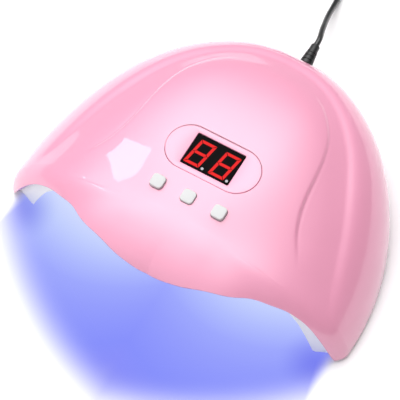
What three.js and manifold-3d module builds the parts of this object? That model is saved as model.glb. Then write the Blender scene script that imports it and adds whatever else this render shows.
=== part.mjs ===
// UV LED nail lamp: a dome shell over a white reflector liner, with a two-digit display, three push buttons,
// curved LED strips, a control board and a free cord that ends in a USB plug.
// Millimetres, +Z up, front towards -Y, left and right mirrored about X = 0.
import * as THREE from "three";
import { mergeVertices } from "three/addons/utils/BufferGeometryUtils.js";
import Module from "manifold-3d";

const wasm = await Module();
wasm.setup();

// ---------- driving dimensions ----------
const HALF_WIDTH = 97.17; // dome half width before the outline correction
const CENTRE_Y = 5.04; // widest line of the dome
const LEAN = 0.062; // backward lean per millimetre of height
const FRONT_DEPTH = 31.4;
const REAR_DEPTH = 117.52;
const DOME_HEIGHT = 53.65;
const RISE = [[-40, 0.865], [-18, 0.865], [-10, 0.877], [0, 0.912], [8, 0.937], [16, 0.961], [30, 0.997], [46, 1.033], [62, 1.055], [80, 1.053], [95, 1.026], [108, 1.0], [125, 1.0], [140, 1.0]]; // height factor along the middle
const RISE_X = [22, 62, 0.85]; // where that factor fades towards the sides, and by how much
const FRONT_POWER = 3.616, SIDE_POWER = 1.951, REAR_POWER = 4.2;
const OUTLINE = [[-75, 0.185], [-45, -0.145], [-15, -0.014], [15, -0.007], [45, 0.014], [75, 0.02]];
const EDGE_X = [0, 16, 32, 46, 58, 68, 78, 86, 91.4]; // front opening, height against distance from the middle
const EDGE_Z = [36.2, 37.85, 39.6, 38.3, 34.6, 31, 23.8, 13, 1.2];
const SHELL_THICK = 2.4;
const SHELL_BASE = 1.2;
const LINER_THICK = 1.5;
const LINER_INSET = 3.5;
const LINER_BASE = 1.5;
const LINER_TOP = 39.6;
const INSERT = { y: 39.2, z: 53.9, tilt: 5.1, length: 50, width: 24, thick: 2.0 };
const WINDOW = { w: 26, h: 17.4 };
const BUTTON = { y: 16.3, pitch: 16.9, size: 6.8, corner: 1.9, proud: 1.7, travel: 0.5 };
const LED_ROWS = [{ y: 5, x: [10, 29, 47] }, { y: 62, x: [11, 33, 53] }, { y: 90, x: [10, 29, 46] }];
const STRIP = { width: 7, thick: 0.8 };
const CORD_R = 1.5;
const PLUG = { x: -58.3, y: 229.1, w: 15.6, h: 7.6, l: 21 };
const TIE = { angle: 60, width: 5 };
const COIL = { x: -27, y: 217, r: 17.5, w: 5.2, h: 9.0, z: 5.25 };

// ---------- small helpers ----------
const deg = THREE.MathUtils.degToRad;
const group = new THREE.Group();
const part = new THREE.Group(); // moves the whole assembly so that the middle of the lamp stands over the origin
part.add(group);
const smooth = (t) => { t = Math.min(1, Math.max(0, t)); return t * t * (3 - 2 * t); };

function solid(geometry, matrix) {
  const g = geometry.clone();
  g.deleteAttribute("normal");
  g.deleteAttribute("uv");
  if (matrix) g.applyMatrix4(matrix);
  const m = mergeVertices(g, 1e-4);
  return new wasm.Manifold(new wasm.Mesh({
    numProp: 3,
    vertProperties: new Float32Array(m.attributes.position.array),
    triVerts: new Uint32Array(m.index.array),
  }));
}
function geometryOf(man) {
  const m = man.getMesh();
  const pos = new Float32Array(m.numVert * 3);
  for (let i = 0; i < m.numVert; i++) pos.set(m.vertProperties.subarray(i * m.numProp, i * m.numProp + 3), i * 3);
  const g = new THREE.BufferGeometry();
  g.setAttribute("position", new THREE.BufferAttribute(pos, 3));
  g.setIndex(new THREE.BufferAttribute(new Uint32Array(m.triVerts), 1));
  g.computeVertexNormals();
  return g;
}
function add(name, geometry, colour, roughness = 0.5, metalness = 0, extra = {}) {
  const mesh = new THREE.Mesh(geometry, new THREE.MeshStandardMaterial({ color: colour, roughness, metalness, ...extra }));
  mesh.name = name;
  group.add(mesh);
  return mesh;
}
function placed(geometry, matrix) { return geometryOf(solid(geometry, matrix)); }
function turned(profile, segments = 20) { return new THREE.LatheGeometry(profile.map((p) => new THREE.Vector2(p[0], p[1])), segments); }
// A matrix whose local Z is the given direction and whose local X stays in the XZ plane where it can.
function frameAt(p, z, xHint = new THREE.Vector3(1, 0, 0)) {
  const k = z.clone().normalize();
  const j = k.clone().cross(xHint).normalize();
  const i = j.clone().cross(k);
  return new THREE.Matrix4().makeBasis(i, j, k).setPosition(p);
}
const UP = new THREE.Matrix4().makeRotationX(Math.PI / 2); // a lathe's Y axis onto Z
function cylinder(r, length, segments = 20) {
  const g = new THREE.CylinderGeometry(r, r, length, segments);
  g.applyMatrix4(UP);
  g.translate(0, 0, length / 2);
  return g;
}
function roundedRect(w, h, r, n = 4) {
  const s = new THREE.Shape(), pts = [];
  for (const [cx, cy, a0] of [[w / 2 - r, h / 2 - r, 0], [-w / 2 + r, h / 2 - r, 90], [-w / 2 + r, -h / 2 + r, 180], [w / 2 - r, -h / 2 + r, 270]])
    for (let i = 0; i <= n; i++) {
      const a = deg(a0 + (90 * i) / n);
      pts.push(new THREE.Vector2(cx + r * Math.cos(a), cy + r * Math.sin(a)));
    }
  s.setFromPoints(pts);
  return s;
}
function slab(shape, z0, z1) {
  const g = new THREE.ExtrudeGeometry(shape, { depth: z1 - z0, bevelEnabled: false, steps: 1, curveSegments: 8 });
  g.translate(0, 0, z0);
  return g;
}
function box(w, d, h) { return new THREE.BoxGeometry(w, d, h); }

// ---------- the dome ----------
function edgeHeight(x) {
  const a = Math.abs(x), n = EDGE_X.length;
  if (a >= EDGE_X[n - 1]) return -1;
  let i = 0;
  while (a > EDGE_X[i + 1]) i++;
  const h = EDGE_X[i + 1] - EDGE_X[i], t = (a - EDGE_X[i]) / h;
  const slope = (k) => (k <= 0 ? 0 : k >= n - 1 ? (EDGE_Z[n - 1] - EDGE_Z[n - 2]) / (EDGE_X[n - 1] - EDGE_X[n - 2]) : (EDGE_Z[k + 1] - EDGE_Z[k - 1]) / (EDGE_X[k + 1] - EDGE_X[k - 1]));
  const t2 = t * t, t3 = t2 * t;
  return (2 * t3 - 3 * t2 + 1) * EDGE_Z[i] + (t3 - 2 * t2 + t) * h * slope(i) + (-2 * t3 + 3 * t2) * EDGE_Z[i + 1] + (t3 - t2) * h * slope(i + 1);
}
function outlineScale(phi) {
  let p = THREE.MathUtils.radToDeg(phi);
  p = ((((p + 90) % 360) + 360) % 360) - 90;
  if (p > 90) p = 180 - p;
  let s = 1;
  for (const [k, c] of OUTLINE) s += c * Math.exp(-(((p - k) / 24) ** 2));
  return s;
}
function crown(x, y) {
  return 1 + (crownLine(y) - 1) * (1 - RISE_X[2] * smooth((Math.abs(x) - RISE_X[0]) / (RISE_X[1] - RISE_X[0])));
}
function crownLine(y) {
  const q = RISE, n = q.length;
  if (y <= q[0][0]) return q[0][1];
  if (y >= q[n - 1][0]) return q[n - 1][1];
  let i = 0;
  while (y > q[i + 1][0]) i++;
  const m = (k) => (k <= 0 || k >= n - 1 ? 0 : (q[k + 1][1] - q[k - 1][1]) / (q[k + 1][0] - q[k - 1][0]));
  const h = q[i + 1][0] - q[i][0], t = (y - q[i][0]) / h, t2 = t * t, t3 = t2 * t;
  return (2 * t3 - 3 * t2 + 1) * q[i][1] + (t3 - 2 * t2 + t) * h * m(i) + (-2 * t3 + 3 * t2) * q[i + 1][1] + (t3 - t2) * h * m(i + 1);
}
// The dome's surface, moved inwards by inset: phi runs round it and tau from the base plane up to the top.
function dome(phi, tau, inset = 0) {
  const s = Math.sin(phi), c = Math.cos(phi);
  const m = SIDE_POWER + (s > 0 ? REAR_POWER - SIDE_POWER : FRONT_POWER - SIDE_POWER) * s * s;
  const ring = Math.max(0, Math.cos(tau)) ** (2 / m);
  const z = (DOME_HEIGHT - inset) * Math.sin(tau) ** (2 / m);
  const o = outlineScale(phi);
  const x = (HALF_WIDTH * o - inset) * ring * c;
  const y = CENTRE_Y + LEAN * z + ((s > 0 ? REAR_DEPTH : FRONT_DEPTH) * o - inset) * ring * s;
  return new THREE.Vector3(x, y, z * crown(x, y));
}
// The parameter at which the surface first rises past a height that may depend on the place.
function tauAt(phi, inset, height) {
  let a = 0, b = null;
  for (let t = 0.002; t < Math.PI / 2; t += 0.004) {
    const p = dome(phi, t, inset);
    if (p.z >= height(p)) { b = t; break; }
    a = t;
  }
  if (b === null) return Math.PI / 2 - 0.01;
  for (let i = 0; i < 30; i++) {
    const t = (a + b) / 2, p = dome(phi, t, inset);
    if (p.z >= height(p)) b = t; else a = t;
  }
  return b;
}
const isFront = (phi) => Math.sin(phi) < 0.05;
const cutHeight = (drop, base) => (p) => (p.y < 12 ? Math.max(base, edgeHeight(p.x) - drop) : base);
// Points of equal spacing along a profile from the cut to the top, without the top point itself.
function resample(points, rows) {
  const len = [0];
  for (let i = 1; i < points.length; i++) len.push(len[i - 1] + points[i].distanceTo(points[i - 1]));
  const out = [];
  for (let r = 0; r < rows; r++) {
    const d = (len[len.length - 1] * r) / rows;
    let i = 0;
    while (len[i + 1] < d) i++;
    out.push(points[i].clone().lerp(points[i + 1], (d - len[i]) / (len[i + 1] - len[i] || 1)));
  }
  return out;
}
function domeColumn(phi, inset, drop, base, rows) {
  const t0 = tauAt(phi, inset, cutHeight(drop, base));
  const pts = [];
  for (let i = 0; i <= 160; i++) {
    const u = i / 160;
    pts.push(dome(phi, t0 + (Math.PI / 2 - t0) * u * u * (3 - 2 * u) * 0.5 + (Math.PI / 2 - t0) * 0.5 * u, inset));
  }
  return resample(pts, rows);
}
const AROUND = [];
for (const [a, b, n] of [[-90, -42, 7], [-42, -20, 7], [-20, -8, 11], [-8, 6, 3], [6, 90, 10]]) for (let i = 0; i < n; i++) AROUND.push(a + ((b - a) * i) / n);
AROUND.push(90);
const RIGHT = AROUND.map(deg);
const ALL_PHI = [...RIGHT, ...RIGHT.slice(1, -1).reverse().map((p) => Math.PI - p)];

// Joins two stacks of rows (outer and inner, each ending in a top point) into one closed skin.
function skin(outer, outerTop, inner, innerTop) {
  const pos = [], idx = [];
  const put = (p) => { pos.push(p.x, p.y, p.z); return pos.length / 3 - 1; };
  const n = outer.length;
  const o = outer.map((col) => col.map(put)), ot = put(outerTop);
  const q = inner.map((col) => col.map(put)), qt = put(innerTop);
  for (let i = 0; i < n; i++) {
    const j = (i + 1) % n;
    for (let r = 0; r < o[i].length - 1; r++) idx.push(o[i][r], o[j][r], o[j][r + 1], o[i][r], o[j][r + 1], o[i][r + 1]);
    const l = o[i].length - 1;
    idx.push(o[i][l], o[j][l], ot);
    for (let r = 0; r < q[i].length - 1; r++) idx.push(q[i][r], q[j][r + 1], q[j][r], q[i][r], q[i][r + 1], q[j][r + 1]);
    const k = q[i].length - 1;
    idx.push(q[i][k], qt, q[j][k]);
    idx.push(o[i][0], q[j][0], o[j][0], o[i][0], q[i][0], q[j][0]);
  }
  const g = new THREE.BufferGeometry();
  g.setAttribute("position", new THREE.Float32BufferAttribute(pos, 3));
  g.setIndex(idx);
  return g;
}

// ---------- shell ----------
const ROWS = 9;
const shellOuter = ALL_PHI.map((p) => domeColumn(p, 0, 0, SHELL_BASE, ROWS));
const shellInner = ALL_PHI.map((p) => domeColumn(p, SHELL_THICK, 0, SHELL_BASE, ROWS));
let shell = solid(skin(shellOuter, dome(0, Math.PI / 2, 0), shellInner, dome(0, Math.PI / 2, SHELL_THICK)));

// local frames on the top
const insertFrame = new THREE.Matrix4().makeRotationX(deg(INSERT.tilt)).setPosition(0, INSERT.y, INSERT.z);
function surfacePoint(x, y) {
  // the top of the dome above a plan position, by search along the parameters
  let best = null, bd = 1e9, step = 0.1, p0 = 0, t0 = 1.2;
  for (let a = -Math.PI; a < Math.PI; a += 0.05) for (let t = 0.3; t < Math.PI / 2; t += 0.03) {
    const p = dome(a, t), d = (p.x - x) ** 2 + (p.y - y) ** 2;
    if (d < bd) { bd = d; best = p; p0 = a; t0 = t; }
  }
  for (let k = 0; k < 60; k++) {
    let moved = false;
    for (const [da, dt] of [[step, 0], [-step, 0], [0, step], [0, -step]]) {
      const p = dome(p0 + da, Math.min(Math.PI / 2, t0 + dt)), d = (p.x - x) ** 2 + (p.y - y) ** 2;
      if (d < bd) { bd = d; best = p; p0 += da; t0 = Math.min(Math.PI / 2, t0 + dt); moved = true; }
    }
    if (!moved) step *= 0.6;
  }
  return best;
}
const sA = surfacePoint(0, BUTTON.y - 3), sB = surfacePoint(0, BUTTON.y + 3);
const buttonAxis = new THREE.Vector3(0, -(sB.z - sA.z), sB.y - sA.y).normalize();
const buttonSpots = [-1, 0, 1].map((k) => {
  const p = surfacePoint(k * BUTTON.pitch, BUTTON.y);
  return p;
});
// the three buttons share one plane: the mean of the outer and middle heights
const buttonZ = (buttonSpots[0].z * 2 + buttonSpots[1].z) / 3;
const buttonFrames = [-1, 0, 1].map((k) => frameAt(new THREE.Vector3(k * BUTTON.pitch, BUTTON.y, buttonZ), buttonAxis));

const stadium = (l, w) => roundedRect(l, w, w / 2 - 0.001, 10);
shell = shell.add(solid(slab(stadium(54.6, 28.6), -4.8, -2.2), insertFrame));
shell = shell.subtract(solid(slab(stadium(INSERT.length + 0.6, INSERT.width + 0.6), -INSERT.thick - 0.3, 14), insertFrame));
shell = shell.subtract(solid(slab(roundedRect(26.4, 20.4, 0.6, 2), -12, 2), insertFrame));
for (const f of buttonFrames) shell = shell.subtract(solid(slab(roundedRect(BUTTON.size + 0.6, BUTTON.size + 0.6, BUTTON.corner + 0.3, 4), -7, 8), f));

// rim layout of the liner, used by the bosses, screws and feet too
function linerRim(phi) {
  const t = tauAt(phi, LINER_INSET, cutHeight(0.8, LINER_BASE));
  const a = dome(phi, t, LINER_INSET);
  const inward = new THREE.Vector3(-a.x, (CENTRE_Y + 30) - a.y, 0).normalize();
  const front = smooth((12 - a.y) / 14);
  const mid = smooth((62 - Math.abs(a.x)) / 34) * front;
  const w = 10.2 * (1 - mid) + 3.4 * mid;
  const b = a.clone().addScaledVector(inward, w);
  b.z += 0.4 * front * (1 - mid);
  // beside the hand opening the rim turns to face forward and follows the arch of the front edge
  const side = Math.sign(a.x), ax = Math.min(Math.abs(a.x), EDGE_X[EDGE_X.length - 1] - 1.2);
  const face = smooth((4.6 - a.y) / 3.4) * smooth((Math.abs(a.x) - 50) / 14);
  const lip = a.clone().lerp(b, 0.5);
  if (face > 0 && side !== 0) {
    const slope = Math.max(-2.2, Math.min(0, (edgeHeight(ax + 1) - edgeHeight(ax - 1)) / 2));
    const l = Math.hypot(slope, 1);
    const wf = 3.4 + 7 * smooth((Math.abs(a.x) - 62) / 29);
    const turned = new THREE.Vector3(a.x + side * (slope / l) * wf, a.y + 1.6, Math.max(LINER_BASE, a.z - wf / l));
    b.lerp(turned, face);
    lip.copy(a).lerp(b, 0.5).lerp(turned.clone().setY(-1.6), face);
    inward.lerp(new THREE.Vector3(-side, 0.5, 0).normalize(), face).normalize();
  }
  return { a, b, lip, inward, t };
}
const spotOnRim = (phiDeg, k) => { const r = linerRim(deg(phiDeg)); return r.a.clone().lerp(r.b, k); };
const screwSpots = [[8, "front_right"], [172, "front_left"], [58, "rear_right"], [122, "rear_left"]].map(([p, n]) => [spotOnRim(p, 0.42), n]);
const footSpots = [[2, "front_right"], [178, "front_left"], [44, "rear_right"], [136, "rear_left"]].map(([p, n]) => [spotOnRim(p, 0.5), n]);
const envelope = solid(skin(
  ALL_PHI.map((p) => domeColumn(p, 1.0, 0, SHELL_BASE, ROWS)), dome(0, Math.PI / 2, 1.0),
  ALL_PHI.map((p) => [dome(p, tauAt(p, 1.0, cutHeight(0, SHELL_BASE)), 1.0).multiply(new THREE.Vector3(0.2, 0.2, 1)).add(new THREE.Vector3(0, 30, 0))]), new THREE.Vector3(0, 30, SHELL_BASE)));
for (const [s] of screwSpots) {
  const c = new THREE.Vector3(0, 50, 0).sub(new THREE.Vector3(s.x, s.y, 0)).normalize();
  const boss = solid(cylinder(3.2, 11, 14), new THREE.Matrix4().makeTranslation(s.x, s.y, 3.5));
  const web = solid(box(7, 3, 11), frameAt(new THREE.Vector3(s.x - c.x * 4.0, s.y - c.y * 4.0, 9.0), new THREE.Vector3(0, 0, 1), c));
  shell = shell.add(boss.add(web).intersect(envelope));
}
for (const [s] of screwSpots) shell = shell.subtract(solid(cylinder(1.4, 9.5, 10), new THREE.Matrix4().makeTranslation(s.x, s.y, 2)));
const CORD_EXIT = new THREE.Vector3(0, 0, 17.5);
CORD_EXIT.y = dome(Math.PI / 2, tauAt(Math.PI / 2, 0, () => CORD_EXIT.z), 0).y;
const cordAxis = new THREE.Vector3(-0.06, 1, 0.1).normalize();
const cordFrame = frameAt(CORD_EXIT, cordAxis);
shell = shell.subtract(solid(cylinder(3.7, 16, 20), cordFrame.clone().multiply(new THREE.Matrix4().makeTranslation(0, 0, -8))));
add("top_shell", geometryOf(shell), 0xf6bcd6, 0.18);
const shellBox = new THREE.Box3().setFromObject(group);
const MIDDLE_Y = Math.round((shellBox.min.y + shellBox.max.y) * 500) / 1000;
part.children[0].position.set(0, -MIDDLE_Y, 0);

// ---------- liner ----------
function linerColumn(phi, upper, rows) {
  const { a, b, lip, inward } = linerRim(phi);
  const out = [];
  const th = upper ? LINER_THICK : 0;
  let a2 = a.clone(), b2 = b.clone();
  if (upper) {
    const t = tauAt(phi, LINER_INSET, (p) => a.z + LINER_THICK);
    a2 = dome(phi, t, LINER_INSET);
    b2 = b.clone().addScaledVector(inward, -LINER_THICK);
    b2.z += LINER_THICK;
    const gap = a2.clone().sub(b2).setZ(0);
    if (gap.dot(inward) > -0.3) b2 = a2.clone().addScaledVector(inward, 0.3).setZ(b2.z);
    b2.z = Math.max(b2.z, a2.z);
  }
  const top = new THREE.Vector3(0, 42, LINER_TOP + th);
  const m = 2.5;
  out.push(a2, upper ? a2.clone().lerp(b2, 0.5) : lip);
  const pts = [];
  for (let i = 0; i <= 80; i++) {
    const u = ((i / 80) * Math.PI) / 2;
    const k = Math.max(0, Math.cos(u)) ** (2 / m);
    pts.push(new THREE.Vector3(top.x + (b2.x - top.x) * k, top.y + (b2.y - top.y) * k, b2.z + (top.z - b2.z) * Math.sin(u) ** (2 / m)));
  }
  out.push(...resample(pts, rows));
  return out;
}
const LROWS = 7;
const linerPhi = ALL_PHI.filter((_, i) => true);
// the upper skin faces the shell and is the outside of the solid; the lower skin faces the hand
let liner = solid(skin(linerPhi.map((p) => linerColumn(p, true, LROWS)), new THREE.Vector3(0, 42, LINER_TOP + LINER_THICK), linerPhi.map((p) => linerColumn(p, false, LROWS)), new THREE.Vector3(0, 42, LINER_TOP)));

// height and slope of the liner's upper skin
const linerTris = (() => {
  const g = geometryOf(liner).toNonIndexed().attributes.position.array, out = [];
  for (let i = 0; i < g.length; i += 9) {
    const a = new THREE.Vector3(g[i], g[i + 1], g[i + 2]), b = new THREE.Vector3(g[i + 3], g[i + 4], g[i + 5]), c = new THREE.Vector3(g[i + 6], g[i + 7], g[i + 8]);
    const n = b.clone().sub(a).cross(c.clone().sub(a));
    if (n.z > 0) out.push([a, b, c]);
  }
  return out;
})();
function linerTop(x, y) {
  let z = -1;
  for (const [a, b, c] of linerTris) {
    const d = (b.y - c.y) * (a.x - c.x) + (c.x - b.x) * (a.y - c.y);
    if (Math.abs(d) < 1e-9) continue;
    const u = ((b.y - c.y) * (x - c.x) + (c.x - b.x) * (y - c.y)) / d, v = ((c.y - a.y) * (x - c.x) + (a.x - c.x) * (y - c.y)) / d, w = 1 - u - v;
    if (u < -1e-6 || v < -1e-6 || w < -1e-6) continue;
    z = Math.max(z, u * a.z + v * b.z + w * c.z);
  }
  return z;
}
// a bent strip over the liner: the underside clears the highest place of the liner across its width
const strips = LED_ROWS.map((row) => {
  const reach = row.x[2] + 6, n = 16, under = [];
  for (let i = 0; i <= n; i++) {
    const x = -reach + (2 * reach * i) / n;
    let z = -1;
    for (const dy of [-0.5, -0.25, 0, 0.25, 0.5]) for (const dx of [-1.5, 0, 1.5]) z = Math.max(z, linerTop(Math.abs(x + dx), row.y + dy * STRIP.width), linerTop(-Math.abs(x + dx), row.y + dy * STRIP.width));
    under.push(new THREE.Vector2(x, z + 0.4));
  }
  for (let i = 0; i <= n; i++) under[i].y = Math.max(under[i].y, under[n - i].y);
  return under;
});
const names = ["front", "middle", "rear"];
const bead = [];
strips.forEach((under, r) => {
  const over = under.map((p, i) => {
    const a = under[Math.max(0, i - 1)], b = under[Math.min(under.length - 1, i + 1)];
    const t = b.clone().sub(a).normalize();
    return new THREE.Vector2(p.x - t.y * STRIP.thick, p.y + t.x * STRIP.thick);
  });
  const shape = new THREE.Shape([...under, ...over.reverse()]);
  const g = slab(shape, -STRIP.width / 2, STRIP.width / 2);
  // the shape's XY plane is the object's XZ plane
  g.applyMatrix4(new THREE.Matrix4().makeBasis(new THREE.Vector3(1, 0, 0), new THREE.Vector3(0, 0, 1), new THREE.Vector3(0, -1, 0)).setPosition(0, LED_ROWS[r].y, 0));
  add("led_strip_" + names[r], placed(g), 0xf2f2ee, 0.5);
  const zAt = (x) => {
    let i = 0;
    while (i < under.length - 2 && under[i + 1].x < x) i++;
    const t = (x - under[i].x) / (under[i + 1].x - under[i].x);
    return [under[i].y + (under[i + 1].y - under[i].y) * t, (under[i + 1].y - under[i].y) / (under[i + 1].x - under[i].x)];
  };
  for (const sx of [-1, 1]) LED_ROWS[r].x.forEach((x, k) => {
    const [z, s] = zAt(sx * x);
    const n = new THREE.Vector3(-s, 0, 1).normalize();
    bead.push({ name: `led_bead_${names[r]}_${sx < 0 ? "left" : "right"}_${k + 1}`, frame: frameAt(new THREE.Vector3(sx * x, LED_ROWS[r].y, z), n.negate()) });
  });
});
// each bead points down through its own hole in the liner
for (const b of bead) liner = liner.subtract(solid(cylinder(3.5, 14, 10), b.frame.clone().multiply(new THREE.Matrix4().makeTranslation(0, 0, -3))));
const sensorSpots = [["hand_sensor_emitter", -7], ["hand_sensor_receiver", 7]];
const sensorTop = sensorSpots.map(([n, x]) => linerTop(x, 30));
for (const [, x] of sensorSpots) liner = liner.subtract(solid(cylinder(2.6, 12, 12), new THREE.Matrix4().makeTranslation(x, 30, 34)));
for (const [s] of screwSpots) liner = liner.subtract(solid(cylinder(1.5, 8, 12), new THREE.Matrix4().makeTranslation(s.x, s.y, 0)));
add("inner_liner", geometryOf(liner), 0xf4f6f8, 0.35);
for (const b of bead) {
  // square base, then a round lens that ends in a shallow dome
  const g = turned([[0, 0.8], [2.8, 0.8], [2.8, 1.7], [2.0, 2.9], [0, 3.4]], 10);
  g.applyMatrix4(UP);
  add(b.name, placed(g, b.frame), 0xdfe6ff, 0.15, 0, { emissive: 0x5a63ff, emissiveIntensity: 1 });
}
sensorSpots.forEach(([n, x], i) => {
  const g = turned([[0, -2.6], [1.4, -2.1], [2.2, -0.8], [2.2, 1.5], [0, 1.5]], 10);
  g.applyMatrix4(UP);
  add(n, placed(g, new THREE.Matrix4().makeTranslation(x, 30, sensorTop[i])), i ? 0x202024 : 0xd8dce0, 0.2);
});

// ---------- display ----------
add("display_bezel", placed((() => {
  const s = stadium(INSERT.length, INSERT.width);
  s.holes.push(new THREE.Path(roundedRect(WINDOW.w + 0.6, WINDOW.h + 0.6, 0.5, 2).getPoints()));
  return slab(s, -INSERT.thick, 0);
})(), insertFrame), 0xf7c3da, 0.2);
add("display_window", placed(slab(roundedRect(WINDOW.w, WINDOW.h, 0.3, 2), -1.9, -0.15), insertFrame), 0x08080a, 0.05);
add("display_module", placed(slab(roundedRect(25, 19, 0.3, 2), -8.0, -2.3), insertFrame), 0x1a1a1e, 0.4);

// ---------- buttons, switches, key board ----------
["left", "center", "right"].forEach((n, i) => {
  const f = buttonFrames[i];
  const cap = roundedRect(BUTTON.size, BUTTON.size, BUTTON.corner, 3);
  const top = new THREE.ExtrudeGeometry(cap, { depth: BUTTON.proud + 2.6, bevelEnabled: false, curveSegments: 4 });
  top.translate(0, 0, -2.6);
  const body = solid(top, f).add(solid(slab(roundedRect(8.8, 8.8, 1.6, 2), -4.4, -3.6), f)).add(solid(slab(roundedRect(6.0, 6.0, 1.4, 2), -3.8, -2.4), f));
  add("button_" + n, geometryOf(body), 0xf3f4f5, 0.3);
  add("switch_plunger_" + n, placed(cylinder(1.6, 1.5, 10), f.clone().multiply(new THREE.Matrix4().makeTranslation(0, 0, -6.2))), 0x2a2a2c, 0.5);
  const sw = solid(box(6, 6, 2.2).translate(0, 0, -6.5), f).subtract(solid(cylinder(2.0, 4, 10), f.clone().multiply(new THREE.Matrix4().makeTranslation(0, 0, -7.1))));
  add("tact_switch_" + n, geometryOf(sw), 0xb9bdc2, 0.35, 0.6);
});
add("key_board", placed(slab(roundedRect(46, 8.6, 1, 2), -8.9, -7.9), buttonFrames[1]), 0x1f6b3a, 0.5);

// ---------- main board ----------
const BOARD_Z = 43.2;
const boardHoles = [[-27, 29.5], [27, 29.5], [-27, 50.5], [27, 50.5]];
let board = solid(slab(roundedRect(60, 27, 1.5, 3), BOARD_Z, BOARD_Z + 1.2), new THREE.Matrix4().makeTranslation(0, 40, 0));
for (const [x, y] of boardHoles) board = board.subtract(solid(cylinder(1.3, 6, 12), new THREE.Matrix4().makeTranslation(x, y, BOARD_Z - 2)));
add("main_board", geometryOf(board), 0x1f6b3a, 0.5);
boardHoles.forEach(([x, y], i) => {
  const g = turned([[0, -1.4], [1.0, -1.4], [1.0, 1.5], [2.1, 1.5], [1.6, 2.6], [0, 2.6]], 8);
  g.applyMatrix4(UP);
  add("board_screw_" + (i + 1), placed(g, new THREE.Matrix4().makeTranslation(x, y, BOARD_Z)), 0xa9adb3, 0.35, 0.9);
});
add("power_connector", placed(box(7.6, 5.4, 4.6), new THREE.Matrix4().makeTranslation(20, 48.5, BOARD_Z + 1.5 + 2.3)), 0xf1efe6, 0.4);

{
  const path = new THREE.CatmullRomCurve3([[-0.3, 117.2, 16.9], [0, 114.6, 24], [4, 109, 35], [9, 97, 43], [15, 76, 46.6], [19, 60, 47.0], [20, 51.6, 47.0]].map((p) => new THREE.Vector3(...p)), false, "centripetal");
  const s = new THREE.Shape();
  s.setFromPoints(Array.from({ length: 6 }, (_, i) => new THREE.Vector2(1.2 * Math.cos((i * Math.PI) / 3), 1.2 * Math.sin((i * Math.PI) / 3))));
  add("power_lead", new THREE.ExtrudeGeometry(s, { steps: 14, extrudePath: path, bevelEnabled: false }), 0x151517, 0.5);
}

// ---------- screws and feet ----------
for (const [s, n] of screwSpots) {
  const g = turned([[0, 0.25], [1.6, 0.25], [2.5, 0.8], [2.5, 1.2], [1.1, 1.2], [1.1, 9.5], [0, 10.3]], 8);
  g.applyMatrix4(UP);
  add("case_screw_" + n, placed(g, new THREE.Matrix4().makeTranslation(s.x, s.y, 0)), 0xa9adb3, 0.35, 0.9);
}
for (const [s, n] of footSpots) add("rubber_foot_" + n, placed(cylinder(3.6, 1.2, 18), new THREE.Matrix4().makeTranslation(s.x, s.y, 0)), 0x2b2b2d, 0.85);

// ---------- strain relief and cord ----------
{
  const g = turned([[0, -5.6], [4.9, -5.6], [4.9, -4.2], [3.3, -4.2], [3.3, 0.4], [4.4, 0.4], [4.3, 2.6], [3.7, 2.9], [4.0, 3.6], [3.8, 6.2], [3.2, 6.6], [3.5, 7.4], [3.3, 10.4], [2.8, 10.8], [3.1, 11.6], [2.5, 17.2], [0, 17.2]], 12);
  g.applyMatrix4(UP);
  add("strain_relief", placed(g, cordFrame), 0x0c0c0d, 0.5);
}
const relief = CORD_EXIT.clone().addScaledVector(cordAxis, 17.5);
// the free stretch from the strain relief down to the table and on to the coil
function cordTube(points, steps) {
  const curve = new THREE.CatmullRomCurve3(points, false, "centripetal");
  const s = new THREE.Shape();
  s.setFromPoints(Array.from({ length: 8 }, (_, i) => new THREE.Vector2(CORD_R * Math.cos((i * Math.PI) / 4 + Math.PI / 8), CORD_R * Math.sin((i * Math.PI) / 4 + Math.PI / 8))));
  return new THREE.ExtrudeGeometry(s, { steps, extrudePath: curve, bevelEnabled: false, curveSegments: 1 });
}
const coilEdge = COIL.r + COIL.w + 0.3; // plan radius where the tube meets the coil
add("cord", cordTube([
  relief,
  relief.clone().addScaledVector(cordAxis, 5),
  new THREE.Vector3(-4.2, CORD_EXIT.y + 30.5, 16.4),
  new THREE.Vector3(-7.8, CORD_EXIT.y + 42.4, 9.4),
  new THREE.Vector3(-11.0, CORD_EXIT.y + 58, 2.4),
  new THREE.Vector3(-12.8, CORD_EXIT.y + 70, 1.62),
  new THREE.Vector3(COIL.x + 16.6, COIL.y - 17.2, 1.62),
], 15), 0x0b0b0c, 0.3);
{
  // one closed ring: the outer shape of the coiled stretch
  const prof = [];
  for (let i = 0; i <= 10; i++) {
    const a = (i / 10) * Math.PI * 2 - Math.PI / 2;
    prof.push([COIL.r + COIL.w * Math.sign(Math.cos(a)) * Math.abs(Math.cos(a)) ** 0.8, COIL.z + (COIL.h / 2) * Math.sign(Math.sin(a)) * Math.abs(Math.sin(a)) ** 0.8]);
  }
  prof[10] = prof[0].slice();
  const g = turned(prof, 22);
  g.applyMatrix4(UP);
  add("cord_coil", placed(g, new THREE.Matrix4().makeTranslation(COIL.x, COIL.y, 0)), 0x0b0b0c, 0.3);
}

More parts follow.
